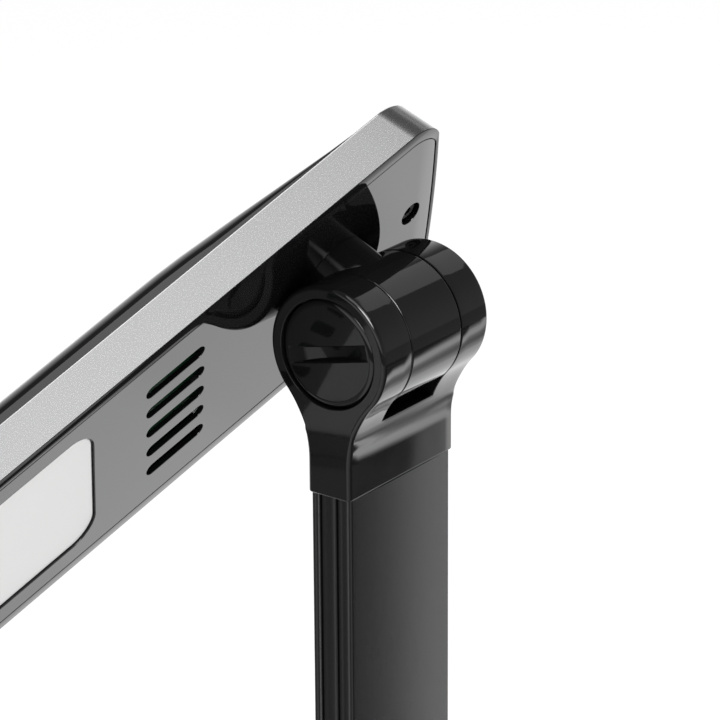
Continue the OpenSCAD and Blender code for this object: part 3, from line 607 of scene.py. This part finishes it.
def makePostTree():
    tree, source, output = makeTree("drawnSection", Length="Float")
    travel = tree.nodes.new("ShaderNodeCombineXYZ")
    draw = tree.nodes.new("GeometryNodeExtrudeMesh")
    draw.inputs["Individual"].default_value = False
    draw.inputs["Offset Scale"].default_value = 1
    foot = tree.nodes.new("GeometryNodeFlipFaces")
    both = tree.nodes.new("GeometryNodeJoinGeometry")
    weld = tree.nodes.new("GeometryNodeMergeByDistance")
    weld.inputs["Distance"].default_value = 0.001 * mm
    link(
        tree, (source.outputs["Length"], travel.inputs["Z"]),
        (source.outputs["Geometry"], draw.inputs["Mesh"]), (travel.outputs["Vector"], draw.inputs["Offset"]),
        (source.outputs["Geometry"], foot.inputs["Mesh"]),
        (draw.outputs["Mesh"], both.inputs["Geometry"]), (foot.outputs["Mesh"], both.inputs["Geometry"]),
        (both.outputs["Geometry"], weld.inputs["Geometry"]),
    )
    return finishTree(tree, weld.outputs["Geometry"], source, output)


def makePost(look):
    section = bmesh.new()
    section.faces.new([section.verts.new((x, y, 0)) for x, y in postSection(look)])
    values = {"Length": look["length"], "Finish": materials["post_black"]}
    form = growForm("post section", section, makePostTree(), values)
    bmesh.ops.recalc_face_normals(form, faces=form.faces)
    place = Matrix.Translation((0, hinge["lower"].y, look["foot"]))
    dressNode("post", form, place, "arm", "post_black")


makePost(postLook)
print("post made")

# Head: its outline is drawn in by one amount at the sides and another at the ends
headLook = {
    "length": 340 * mm,
    "tail": 36.1 * mm,
    "width": 63.3 * mm,
    "corner": 10 * mm,
    "bow": 1 * mm,
    "endSteps": 6,
    "cornerSteps": 20,
    "sideSteps": 44,
    "lean": 1.1 * mm,
    "rollStart": -29 * mm,
    "roll": 0.42 * mm,
}


def headHalf(sideIn, endIn):
    look = headLook
    corner = look["corner"] - min(sideIn, endIn)
    half = look["width"] / 2 - sideIn
    near = endIn - look["tail"]
    far = look["length"] - look["tail"] - endIn
    bowRadius = ((look["width"] / 2) ** 2 + look["bow"] ** 2) / (2 * look["bow"])

    def bowX(y):
        return near + bowRadius - math.sqrt(bowRadius**2 - y**2)

    points = []
    for step in range(look["endSteps"]):
        y = (half - corner) * step / look["endSteps"]
        points.append((bowX(y), y, -1, 0))
    for step in range(look["cornerSteps"] + 1):
        turn = math.pi / 2 * step / look["cornerSteps"]
        x = near + corner * (1 - math.cos(turn))
        y = half - corner * (1 - math.sin(turn))
        points.append((max(x, bowX(y)), y, -math.cos(turn), math.sin(turn)))
    for step in range(1, look["sideSteps"]):
        points.append((near + corner + (far - near - 2 * corner) * step / look["sideSteps"], half, 0, 1))
    for step in range(look["cornerSteps"] + 1):
        turn = math.pi / 2 * (1 - step / look["cornerSteps"])
        x, y = far - corner * (1 - math.cos(turn)), half - corner * (1 - math.sin(turn))
        points.append((x, y, math.cos(turn), math.sin(turn)))
    for step in range(1, look["endSteps"] + 1):
        points.append((far, (half - corner) * (1 - step / look["endSteps"]), 1, 0))
    return points


# A ring round the head; height and a further inset may change along it
def headRing(sideIn, endIn, height, inset=lambda x: 0):
    half = headHalf(sideIn, endIn)
    whole = half + [(x, -y, nx, -ny) for x, y, nx, ny in reversed(half[1:-1])]
    ring = []
    for x, y, nx, ny in whole:
        draw = inset(x)
        z = height(x) if callable(height) else height
        ring.append((x - nx * draw, y - ny * draw, z))
    return ring


# Band: its ends lean in towards the top, and a gloss black lip rounds down from it to the panel
bandLook = {
    "height": 10.47 * mm,
    "foot": 0.32 * mm,
    "footEdge": 0.12 * mm,
    "highlightStripe": 0.3 * mm,
    "fine": 0.04 * mm,
    "wall": 1.8 * mm,
    "lipSide": 3.3 * mm,
    "lipEnd": 0.9 * mm,
    "lipSteps": 8,
    "panelDepth": 1.2 * mm,
    "ledge": 2 * mm,
}


def leanAt(z):
    return headLook["lean"] * z / bandLook["height"]


# How far the underside has risen towards the near tip
def riseAt(x, end=0.0):
    run = headLook["rollStart"] + headLook["tail"] - end
    return headLook["roll"] * min(max(0, headLook["rollStart"] - x) / run, 1) ** 2


def makeBand(look):
    top, wall, fine, foot = look["height"], look["wall"], look["fine"], look["foot"]
    side, end = look["lipSide"], look["lipEnd"]
    rings = [headRing(0, leanAt(foot), foot)]
    rings.append(headRing(0, leanAt(top - look["highlightStripe"]), top - look["highlightStripe"]))
    highlightStripe = len(rings) - 1
    rings.append(headRing(fine, fine + leanAt(top), top - fine))
    rings.append(headRing(2 * fine, 2 * fine + leanAt(top), top))
    rings.append(headRing(wall - fine, wall - fine + leanAt(top), top))
    rings.append(headRing(wall, wall + leanAt(top), top - fine))
    ledgeTop = look["panelDepth"] + look["ledge"]
    rings.append(headRing(wall, wall, ledgeTop))
    for z in (ledgeTop, look["panelDepth"]):
        rings.append(headRing(side + look["ledge"], end + look["ledge"], z))
    rings.append(headRing(side, end, look["panelDepth"]))
    lip = len(rings) - 1
    rings.append(headRing(side, end, lambda x: 2 * fine + riseAt(x)))
    for step in range(look["lipSteps"] + 1):
        share = step / look["lipSteps"]
        keep = 1 - share
        rings.append(headRing(
            look["footEdge"] + (side - fine - look["footEdge"]) * keep,
            look["footEdge"] + (end - fine - look["footEdge"]) * keep,
            lambda x, share=share: (foot - look["footEdge"]) * share**2 + riseAt(x) * (1 - share),
        ))
    form = loftForm(rings, closed=True)
    count = len(rings[0])
    for index, face in enumerate(form.faces):
        ring = index // count
        # the stripe under the top edge takes the lighter band finish, a painted highlight line
        face.material_index = 1 if ring >= lip else 2 if ring == highlightStripe else 0
    dressNode("head_frame", form, headPlace, "head", "band_metal", "panel_black", "band_edge")


makeBand(bandLook)
print("band made")


def roundedLoop(width, depth, corner, centre, height, steps=16):
    loop = []
    for turn, sx, sy in ((0, 1, 1), (90, -1, 1), (180, -1, -1), (270, 1, -1)):
        for step in range(steps + 1):
            a = math.radians(turn + 90 * step / steps)
            x = centre + sx * (width / 2 - corner) + corner * math.cos(a)
            loop.append((x, sy * (depth / 2 - corner) + corner * math.sin(a), height))
    return loop


def prismForm(loopAt, low, high):
    return loftForm([loopAt(low), loopAt(high)])


# Underside panel: a thin plate with a window, screw holes and a row of vents
panelLook = {
    "thickness": 1.2 * mm,
    "gap": 0.25 * mm,
    "edge": 0.15 * mm,
    "holeEdge": 0.12 * mm,
    "studHole": 5.3 * mm,
    "screwHole": (2.95 * mm, 3.45 * mm),
    "screwAt": (-27.8 * mm, 295.6 * mm),
    "ventCount": 5,
    "ventPitch": 8.35 * mm,
    "ventLength": 18 * mm,
    "ventWidth": 4 * mm,
    "ventStart": 39.7 * mm,
    "rollSteps": 9,
    "holesWithin": (-33 * mm, 299 * mm, 24 * mm),
}
windowLook = {"start": 73.9 * mm, "end": 283.9 * mm, "depth": 43.7 * mm, "corner": 7 * mm, "gap": 0.3 * mm}


def windowLoop(grow, height):
    width = windowLook["end"] - windowLook["start"] + 2 * grow
    centre = (windowLook["start"] + windowLook["end"]) / 2
    return roundedLoop(width, windowLook["depth"] + 2 * grow, windowLook["corner"] + grow, centre, height)


def makeVentTree():
    tree, source, output = makeTree("ventedPlate", Vent="Object", Count="Int", Pitch="Float")
    vent = tree.nodes.new("GeometryNodeObjectInfo")
    row = tree.nodes.new("GeometryNodeMeshLine")
    step = tree.nodes.new("ShaderNodeCombineXYZ")
    start = tree.nodes.new("ShaderNodeCombineXYZ")
    less = mathNode(tree, "SUBTRACT", source.outputs["Count"], 1)
    reach = mathNode(tree, "MULTIPLY", less, source.outputs["Pitch"])
    put = tree.nodes.new("GeometryNodeInstanceOnPoints")
    solid = tree.nodes.new("GeometryNodeRealizeInstances")
    cut = tree.nodes.new("GeometryNodeMeshBoolean")
    cut.operation = "DIFFERENCE"
    cut.solver = "EXACT"
    link(
        tree, (source.outputs["Vent"], vent.inputs["Object"]), (source.outputs["Count"], row.inputs["Count"]),
        (mathNode(tree, "MULTIPLY", reach, -0.5), start.inputs["Y"]),
        (source.outputs["Pitch"], step.inputs["Y"]), (start.outputs[0], row.inputs["Start Location"]),
        (step.outputs[0], row.inputs["Offset"]), (row.outputs["Mesh"], put.inputs["Points"]),
        (vent.outputs["Geometry"], put.inputs["Instance"]),
        (put.outputs["Instances"], solid.inputs["Geometry"]),
        (source.outputs["Geometry"], cut.inputs["Mesh 1"]), (solid.outputs["Geometry"], cut.inputs["Mesh 2"]),
    )
    return finishTree(tree, cut.outputs["Mesh"], source, output)


def discForm(radius, x, low, high, count=64):
    turns = [2 * math.pi * i / count for i in range(count)]
    return prismForm(lambda z: [(x + radius * math.cos(t), radius * math.sin(t), z) for t in turns], low, high)


def makePanel(look):
    side, end = bandLook["lipSide"] + look["gap"], bandLook["lipEnd"] + look["gap"]
    edge, thick = look["edge"], look["thickness"]
    rings = [headRing(side + edge, end + edge, 0), headRing(side + edge * 0.3, end + edge * 0.3, edge * 0.3)]
    rings += [headRing(side, end, edge), headRing(side, end, thick)]
    past = 2 * mm
    cutters = [prismForm(lambda z: windowLoop(windowLook["gap"], z), -past, thick + past)]
    cutters.append(discForm(look["studHole"], 0, -past, thick + past))
    along, across = look["screwHole"]
    for x in look["screwAt"]:
        hole = discForm(across, 0, -past, thick + past)
        hole.transform(Matrix.Translation((x, 0, 0)) @ Matrix.Diagonal((along / across, 1, 1, 1)))
        cutters.append(hole)
    plate = cutForm(loftForm(rings), *cutters)
    middle = look["ventStart"] + look["ventLength"] / 2
    vent = asObject("vent", prismForm(lambda z: roundedLoop(
        look["ventLength"], look["ventWidth"], look["ventWidth"] / 2 - 0.01 * mm, middle, z, 12
    ), -past, thick + past))
    values = {"Vent": vent, "Count": look["ventCount"], "Pitch": look["ventPitch"]}
    values["Finish"] = materials["panel_black"]
    form = growForm("plate", plate, makeVentTree(), values)
    bpy.data.objects.remove(vent)
    first, last, half = look["holesWithin"]

    def atHole(edge):
        return all(
            abs(v.co.z) < 0.01 * mm and abs(v.co.y) < half and first < v.co.x < last for v in edge.verts
        )

    roundEdges(form, look["holeEdge"], atHole, 2)
    run = headLook["rollStart"] + headLook["tail"] - end
    steps = look["rollSteps"]
    sliceForm(form, [headLook["rollStart"] - run * step / steps for step in range(steps)])
    for vert in form.verts:
        if vert.co.z < 0.5 * mm:
            vert.co.z += riseAt(vert.co.x, end)
    dressNode("bottom_panel", form, headPlace, "head", "panel_black")


makePanel(panelLook)
print("panel made")

# Diffuser: a soft edged opal window, a little below the panel's face
diffuserLook = {"face": 0.5 * mm, "edge": 0.35 * mm, "flange": 1.5 * mm, "seat": 1.2 * mm, "top": 2.5 * mm}


def makeDiffuser(look):
    edge = look["edge"]
    rings = []
    for step in range(5):
        turn = math.pi / 2 * step / 4
        rings.append(windowLoop(-edge * (1 - math.sin(turn)), look["face"] + edge * (1 - math.cos(turn))))
    rings += [windowLoop(0, look["seat"]), windowLoop(look["flange"], look["seat"])]
    rings.append(windowLoop(look["flange"], look["top"]))
    dressNode("diffuser", loftForm(rings), headPlace, "head", "diffuser_white")


makeDiffuser(diffuserLook)
print("diffuser made")

# Top cover: level over the light, sloping down to the near tip, with soft long edges
coverLook = {
    "top": 16.25 * mm,
    "tipTop": 10.53 * mm,
    "round": 4.4 * mm,
    "slopeStart": 45 * mm,
    "slope": 0.125,
    "blend": 30 * mm,
    "foot": 10.47 * mm,
    "gap": 0.1 * mm,
    "steps": 12,
}


def coverTop(x):
    look = coverLook
    radius = look["blend"] / look["slope"]
    middle = look["slopeStart"] - look["blend"]
    if x > look["slopeStart"]:
        return look["top"]
    if x > middle:
        return look["top"] - radius + math.sqrt(radius**2 - (look["slopeStart"] - x) ** 2)
    middleTop = look["top"] - radius + math.sqrt(radius**2 - look["blend"] ** 2)
    return max(look["tipTop"], middleTop - look["slope"] * (middle - x))


# Faces across the open top, from one side to the other
def closeAcross(form, ring):
    start = min(range(len(ring)), key=lambda i: (round(ring[i].co.x, 6), abs(ring[i].co.y)))
    ring = ring[start:] + ring[:start]
    count = len(ring)
    for i in range(count // 2):
        corners = []
        for v in (ring[i], ring[i + 1], ring[(count - i - 1) % count], ring[(count - i) % count]):
            if v not in corners:
                corners.append(v)
        form.faces.new(corners)
    bmesh.ops.recalc_face_normals(form, faces=form.faces)


def makeCover(look):
    def roundAt(x):
        return min(look["round"], (coverTop(x) - look["foot"]) * 0.9)

    foot, lean, gap = look["foot"], leanAt(look["foot"]), look["gap"]
    rings = [headRing(9 * gap, 9 * gap + lean, foot), headRing(2 * gap, 2 * gap + lean, foot + gap / 5)]
    for step in range(look["steps"] + 1):
        turn = math.pi / 2 * step / look["steps"]
        rings.append(headRing(
            gap, gap + lean,
            lambda x, turn=turn: coverTop(x) - roundAt(x) * (1 - math.sin(turn)),
            lambda x, turn=turn: roundAt(x) * (1 - math.cos(turn)),
        ))
    form = loftForm(rings)
    top = max(form.faces, key=lambda face: (len(face.verts), face.calc_center_median().z))
    ring = list(top.verts)
    bmesh.ops.delete(form, geom=[top], context="FACES_ONLY")
    closeAcross(form, ring)
    dressNode("top_cover", form, headPlace, "head", "gloss_black")


makeCover(coverLook)
print("cover made")

# Base cover: soft top edge, fine ones round its openings
baseLook = {
    "width": 190 * mm,
    "depth": 170 * mm,
    "corner": 20 * mm,
    "height": 20 * mm,
    "topEdge": 2 * mm,
    "openingEdge": 0.3 * mm,
    "footEdge": 0.5 * mm,
}


def fromRim(v):
    x = abs(v.co.x) - (baseLook["width"] / 2 - baseLook["corner"])
    y = abs(v.co.y) - (baseLook["depth"] / 2 - baseLook["corner"])
    reach = math.hypot(x, y) if x > 0 and y > 0 else max(x, y)
    return baseLook["corner"] - reach


def makeBaseCover(look):
    form = copyForm("base_cover")
    onTop = look["height"] - 0.05 * mm
    roundEdges(form, look["topEdge"], lambda edge: all(
        v.co.z > onTop and fromRim(v) < 0.05 * mm for v in edge.verts
    ), 6)
    roundEdges(form, look["openingEdge"], lambda edge: all(
        v.co.z > onTop and fromRim(v) > 4 * mm for v in edge.verts
    ), 2)
    roundEdges(form, look["footEdge"], lambda edge: all(
        v.co.z < 1.25 * mm and fromRim(v) < 0.05 * mm for v in edge.verts
    ), 2)
    dressNode("base_cover", form, Matrix.Identity(4), "base", "gloss_black")


makeBaseCover(baseLook)
print("base cover made")

# Controls: a panel with four buttons, each with a plain generic mark
controlLook = {
    "panelEdge": 0.15 * mm,
    "buttonEdge": 0.5 * mm,
    "markWidth": 0.45 * mm,
    "markDepth": 0.03 * mm,
    "markRing": 1.9 * mm,
    "markLength": 3.4 * mm,
}


def makeControls(look):
    form = copyForm("control_panel")
    roundEdges(form, look["panelEdge"], lambda edge: all(v.co.z > 19.95 * mm for v in edge.verts), 2)
    dressNode("control_panel", form, Matrix.Identity(4), "base", "gloss_black")
    for name in ("power", "colour", "dimmer", "brighter"):
        node = name + "_button"
        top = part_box(node)[1][2]
        form = copyForm(node)
        onTop = top - 0.02 * mm
        roundEdges(form, look["buttonEdge"], lambda edge: all(v.co.z > onTop for v in edge.verts), 4)
        dressNode(node, form, Matrix.Identity(4), node, "button_white")


def barOutline(width, length):
    x, y = length / 2, width / 2
    return [(-x, -y), (x, -y), (x, y), (-x, y)]


def arcOutline(radius, width, start, end, steps=28):
    turns = [math.radians(start + (end - start) * i / steps) for i in range(steps + 1)]
    outer, inner = radius + width / 2, radius - width / 2
    points = [(outer * math.cos(t), outer * math.sin(t)) for t in turns]
    return points + [(inner * math.cos(t), inner * math.sin(t)) for t in reversed(turns)]


def makeMarks(look):
    width, ring = look["markWidth"], look["markRing"]
    bar = barOutline(width, look["markLength"])
    upright = [(y, x + 1.4 * mm) for x, y in barOutline(width, 1.8 * mm)]
    marks = {
        "power_button": [arcOutline(ring, width, 125, 415), upright],
        "colour_button": [arcOutline(ring, width, 0, 360), arcOutline(0.95 * mm, 1.3 * mm, 90, 270)],
        "dimmer_button": [bar],
        "brighter_button": [bar, [(y, x) for x, y in bar]],
    }
    for node, outlines in marks.items():
        low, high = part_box(node)
        centre = Vector(((low[0] + high[0]) / 2, (low[1] + high[1]) / 2, high[2]))
        form = bmesh.new()
        for index, outline in enumerate(outlines):
            depth = look["markDepth"] * (1 - 0.2 * index)
            solid = loftForm([[(x, y, z) for x, y in outline] for z in (-depth, depth)])
            part = bpy.data.meshes.new("mark part")
            solid.to_mesh(part)
            solid.free()
            form.from_mesh(part)
            bpy.data.meshes.remove(part)
        addPiece(node + ".mark", form, Matrix.Translation(centre), node, "switch_black")


makeControls(controlLook)
makeMarks(controlLook)
print("controls made")

# Screws and light chips: one tree sets a template on points
screwLook = {
    "head": 2.4 * mm,
    "headHeight": 1.2 * mm,
    "shank": 1.5 * mm,
    "length": 5 * mm,
    "key": 1.2 * mm,
    "threads": 10,
    "panelSeat": 1 * mm,
    "baseAt": (75 * mm, 67 * mm, 1.2 * mm),
}
chipLook = {
    "length": 3 * mm,
    "depth": 0.7 * mm,
    "height": 1.4 * mm,
    "count": 18,
    "row": 23.9 * mm,
    "level": 3.95 * mm,
}


def makeSetTree():
    tree, source, output = makeTree("setOnPoints", Piece="Object", Size="Float", Turn="Vector")
    piece = tree.nodes.new("GeometryNodeObjectInfo")
    put = tree.nodes.new("GeometryNodeInstanceOnPoints")
    turn = tree.nodes.new("FunctionNodeEulerToRotation")
    link(
        tree, (source.outputs["Piece"], piece.inputs["Object"]),
        (source.outputs["Geometry"], put.inputs["Points"]),
        (piece.outputs["Geometry"], put.inputs["Instance"]),
        (source.outputs["Turn"], turn.inputs["Euler"]), (turn.outputs["Rotation"], put.inputs["Rotation"]),
        (source.outputs["Size"], put.inputs["Scale"]),
    )
    return finishTree(tree, put.outputs["Instances"], source, output)


setTree = makeSetTree()


def screwForm(look):
    head, height, key, threads = look["head"], look["headHeight"], look["key"], look["threads"]

    def ring(radius, z, count=48):
        turns = [2 * math.pi * i / count for i in range(count)]
        return [(radius * math.cos(t), radius * math.sin(t), z) for t in turns]

    rings = [ring(head - 0.2 * mm, 0), ring(head, 0.2 * mm)]
    rings += [ring(head, height - 0.1 * mm), ring(head - 0.1 * mm, height)]
    for turn in range(threads):
        low = height + look["length"] * turn / threads
        rings.append(ring(look["shank"] - 0.18 * mm, low))
        rings.append(ring(look["shank"], low + look["length"] / (2 * threads)))
    rings.append(ring(look["shank"] - 0.5 * mm, height + look["length"]))
    socket = prismForm(lambda z: ring(key, z, 6), -mm, height * 0.6)
    return cutForm(loftForm(rings), socket)


def setPieces(node, template, points, place, body, slot):
    seed = bmesh.new()
    for point in points:
        seed.verts.new(point)
    values = {"Piece": template, "Size": 1.0, "Turn": (0, 0, 0), "Finish": materials[slot]}
    dressNode(node, growForm(node, seed, setTree, values), place, body, slot, kind="set")


def makeScrews(look):
    template = asObject("screw template", screwForm(look))
    ends = [(x, 0, look["panelSeat"]) for x in panelLook["screwAt"]]
    setPieces("panel_screws", template, ends, headPlace, "head", "screw_black")
    x, y, z = look["baseAt"]
    corners = [(side * x, end * y, z) for side in (-1, 1) for end in (-1, 1)]
    setPieces("base_screws", template, corners, Matrix.Identity(4), "base", "steel")
    bpy.data.objects.remove(template)


def makeChips(look):
    box = roundedLoop(look["length"], look["depth"], 0.1 * mm, 0, 0, 2)
    template = asObject("chip template", prismForm(
        lambda z: [(x, y, z) for x, y, flat in box], -look["height"] / 2, look["height"] / 2
    ))
    pitch = (windowLook["end"] - windowLook["start"]) / look["count"]
    points = [
        (windowLook["start"] + (i + 0.5) * pitch, side * look["row"], look["level"])
        for side in (-1, 1) for i in range(look["count"])
    ]
    setPieces("led_chips", template, points, headPlace, "head", "chip_yellow")
    bpy.data.objects.remove(template)


makeScrews(screwLook)
makeChips(chipLook)
print("screws and chips made")

# Stage: the light and shade that gloss sees painted on floor and room depend on the direction from the lamp,
# as pairs of degrees from the front and level; a glow has its degrees round and up, its inner and outer reach
# and its level
studio = {
    "floor": 8.0,
    "floorGlow": 0.55,
    "sheetReach": 1.25,
    "ripple": 0.02,
    "sheet": [
        (-180, 0.06), (-135, 0.6), (-100, 0.9), (-86, 0.9), (-74, 0.25), (-40, 0.25), (-20, 1.2), (20, 2.6),
        (45, 2.2), (60, 1.6), (103, 1.6), (104.5, 1.2), (109, 1.0), (111.5, 0.6), (115, 0.6), (118.5, 1.1),
        (121, 2.5), (124.6, 2.5), (125.6, 0.05),
    ],
    "beyond": [
        (-180, 0.2), (-60, 0.12), (-40, 0.12), (-20, 0.9), (50, 1.9), (90, 1.7), (100, 0.35), (130, 0.2),
    ],
    "lightPatch": (5, 0.12),
    "horizon": [
        (-180, 0.12), (-150, 0.12), (-120, 1.1), (-60, 1.1), (-30, 1.0), (88, 1.0), (97, 0.25), (130, 0.12),
        (180, 0.12),
    ],
    "ceiling": 0.2,
    "plain": 0.45,
    "glows": [(26, 18, 10, 46, 1.7), (-125, 42, 8, 19, 14.0)],
    "softboxes": {
        "overhead": ((-0.63, -0.72, 2.2), (-0.63, -0.72, 0), (1.56, 1.74), 2.05),
        "side": ((1.233, -0.11, 1.43), (0, -0.045, 0.41), (0.82, 0.22), 0.62),
    },
}


def emission(tree, strength):
    node = tree.nodes.new("ShaderNodeEmission")
    node.inputs["Strength"].default_value = strength
    return node


# Level against direction, from pairs of degrees and level
def levelByTurn(tree, x, y, stops):
    turn = mathNode(tree, "ARCTAN2", x, y)
    share = mathNode(tree, "MULTIPLY_ADD", turn, 0.5 / math.pi)
    share.node.inputs[2].default_value = 0.5
    ramp = tree.nodes.new("ShaderNodeValToRGB")
    tree.links.new(share, ramp.inputs["Fac"])
    points = ramp.color_ramp.elements
    while len(points) < len(stops):
        points.new(0.5)
    for point, (degrees, level) in zip(points, stops):
        point.position = (degrees + 180) / 360
        point.color = (level / 4, level / 4, level / 4, 1)
    split = tree.nodes.new("ShaderNodeSeparateColor")
    tree.links.new(ramp.outputs["Color"], split.inputs["Color"])
    return mathNode(tree, "MULTIPLY", split.outputs["Red"], 4.0)


def softStep(tree, value, low, high):
    fade = tree.nodes.new("ShaderNodeMapRange")
    fade.interpolation_type = "SMOOTHSTEP"
    fade.inputs["From Min"].default_value = low
    fade.inputs["From Max"].default_value = high
    tree.links.new(value, fade.inputs["Value"])
    return fade.outputs["Result"]


# Camera rays see a white floor that keeps the shadow; gloss rays see painted light and shade on it instead,
# set by direction
def addFloor(look):
    half = look["floor"] / 2
    mesh = bpy.data.meshes.new("floor")
    corners = [(-half, -half, 0), (half, -half, 0), (half, half, 0), (-half, half, 0)]
    mesh.from_pydata(corners, [], [(0, 1, 2, 3)])
    floor = bpy.data.objects.new("floor", mesh)
    floor.location = (0, 0, -0.2 * mm)
    bpy.context.collection.objects.link(floor)
    material = bpy.data.materials.new("floor")
    material.use_nodes = True
    tree = material.node_tree
    tree.nodes.remove(tree.nodes["Principled BSDF"])
    path = tree.nodes.new("ShaderNodeLightPath")
    diffuse = tree.nodes.new("ShaderNodeBsdfDiffuse")
    diffuse.inputs["Color"].default_value = (0.85, 0.85, 0.85, 1)
    seen = tree.nodes.new("ShaderNodeAddShader")
    split = tree.nodes.new("ShaderNodeSeparateXYZ")
    place = tree.nodes.new("ShaderNodeTexCoord").outputs["Object"]
    link(
        tree, (diffuse.outputs[0], seen.inputs[0]), (place, split.inputs[0]),
        (emission(tree, look["floorGlow"]).outputs[0], seen.inputs[1]),
    )
    x, y = split.outputs["X"], mathNode(tree, "ADD", split.outputs["Y"], 0.045)
    ripple = mathNode(tree, "SUBTRACT", noiseOn(tree, place, 9, 1), 0.5)
    ripple = mathNode(tree, "MULTIPLY", ripple, look["ripple"])
    sheet = levelByTurn(tree, mathNode(tree, "ADD", x, ripple), y, look["sheet"])
    beyond = levelByTurn(tree, x, y, look["beyond"])
    # painted light: soft noise patches brighten the floor where gloss sees it
    lightPatch = softStep(tree, noiseOn(tree, place, look["lightPatch"][0], 2), 0.5, 0.66)
    sheet = mathNode(tree, "ADD", sheet, mathNode(tree, "MULTIPLY", lightPatch, look["lightPatch"][1]))
    square = mathNode(tree, "ADD", mathNode(tree, "MULTIPLY", x, x), mathNode(tree, "MULTIPLY", y, y))
    reach = mathNode(tree, "POWER", square, 0.5)
    away = softStep(tree, reach, look["sheetReach"] - 0.05, look["sheetReach"] + 0.1)
    level = mathNode(
        tree, "ADD", mathNode(tree, "MULTIPLY", beyond, away),
        mathNode(tree, "MULTIPLY", sheet, mathNode(tree, "SUBTRACT", 1.0, away)),
    )
    mirrorGlow = emission(tree, 1.0)
    mix = tree.nodes.new("ShaderNodeMixShader")
    through = mathNode(tree, "SUBTRACT", 1.0, path.outputs["Is Transmission Ray"])
    mirrored = mathNode(tree, "MULTIPLY", path.outputs["Is Glossy Ray"], through)
    link(
        tree, (level, mirrorGlow.inputs["Strength"]), (mirrored, mix.inputs["Fac"]),
        (seen.outputs[0], mix.inputs[1]), (mirrorGlow.outputs[0], mix.inputs[2]),
        (mix.outputs[0], tree.nodes["Material Output"].inputs["Surface"]),
    )
    floor.data.materials.append(material)


# Gloss sees a horizon by direction, a dim ceiling and soft glows, each at degrees round and up
def addWorld(look):
    world = bpy.data.worlds.new("studio")
    world.use_nodes = True
    bpy.context.scene.world = world
    tree = world.node_tree
    back = tree.nodes["Background"]
    back.inputs["Color"].default_value = (1, 1, 1, 1)
    path = tree.nodes.new("ShaderNodeLightPath")
    toward = tree.nodes.new("ShaderNodeTexCoord").outputs["Generated"]
    split = tree.nodes.new("ShaderNodeSeparateXYZ")
    tree.links.new(toward, split.inputs[0])
    horizon = levelByTurn(tree, split.outputs["X"], split.outputs["Y"], look["horizon"])
    low = softStep(tree, split.outputs["Z"], 0.62, 0.03)
    level = mathNode(tree, "ADD", mathNode(tree, "MULTIPLY", horizon, low), look["ceiling"])
    for turn, rise, inner, outer, strength in look["glows"]:
        turn, rise = math.radians(turn), math.radians(rise)
        aim = (math.sin(turn) * math.cos(rise), math.cos(turn) * math.cos(rise), math.sin(rise))
        near = tree.nodes.new("ShaderNodeVectorMath")
        near.operation = "DOT_PRODUCT"
        near.inputs[1].default_value = aim
        tree.links.new(toward, near.inputs[0])
        glow = softStep(
            tree, near.outputs["Value"], math.cos(math.radians(outer)), math.cos(math.radians(inner)),
        )
        level = mathNode(tree, "ADD", level, mathNode(tree, "MULTIPLY", glow, strength))
    camera = mathNode(tree, "MAXIMUM", path.outputs["Is Camera Ray"], path.outputs["Is Transmission Ray"])
    unseen = mathNode(tree, "SUBTRACT", 1.0, camera)
    glossy = mathNode(tree, "MULTIPLY", path.outputs["Is Glossy Ray"], unseen)
    plain = mathNode(tree, "SUBTRACT", 1.0, mathNode(tree, "ADD", glossy, camera))
    plain = mathNode(tree, "MULTIPLY", plain, look["plain"])
    level = mathNode(tree, "ADD", mathNode(tree, "MULTIPLY", glossy, level), plain)
    level = mathNode(tree, "ADD", camera, level)
    tree.links.new(level, back.inputs["Strength"])


def addSoftbox(name, place, aim, size, level):
    data = bpy.data.lights.new(name, "AREA")
    data.shape = "RECTANGLE"
    data.size, data.size_y = size
    data.energy = level * math.pi * size[0] * size[1]
    lamp = bpy.data.objects.new(name, data)
    lamp.location = place
    lamp.rotation_euler = (Vector(aim) - Vector(place)).to_track_quat("-Z", "Y").to_euler()
    bpy.context.collection.objects.link(lamp)


addFloor(studio)
addWorld(studio)
for name, (place, aim, size, level) in studio["softboxes"].items():
    addSoftbox(name, place, aim, size, level)
print("studio made")

bpy.context.scene.view_settings.view_transform = "Standard"
print("done")
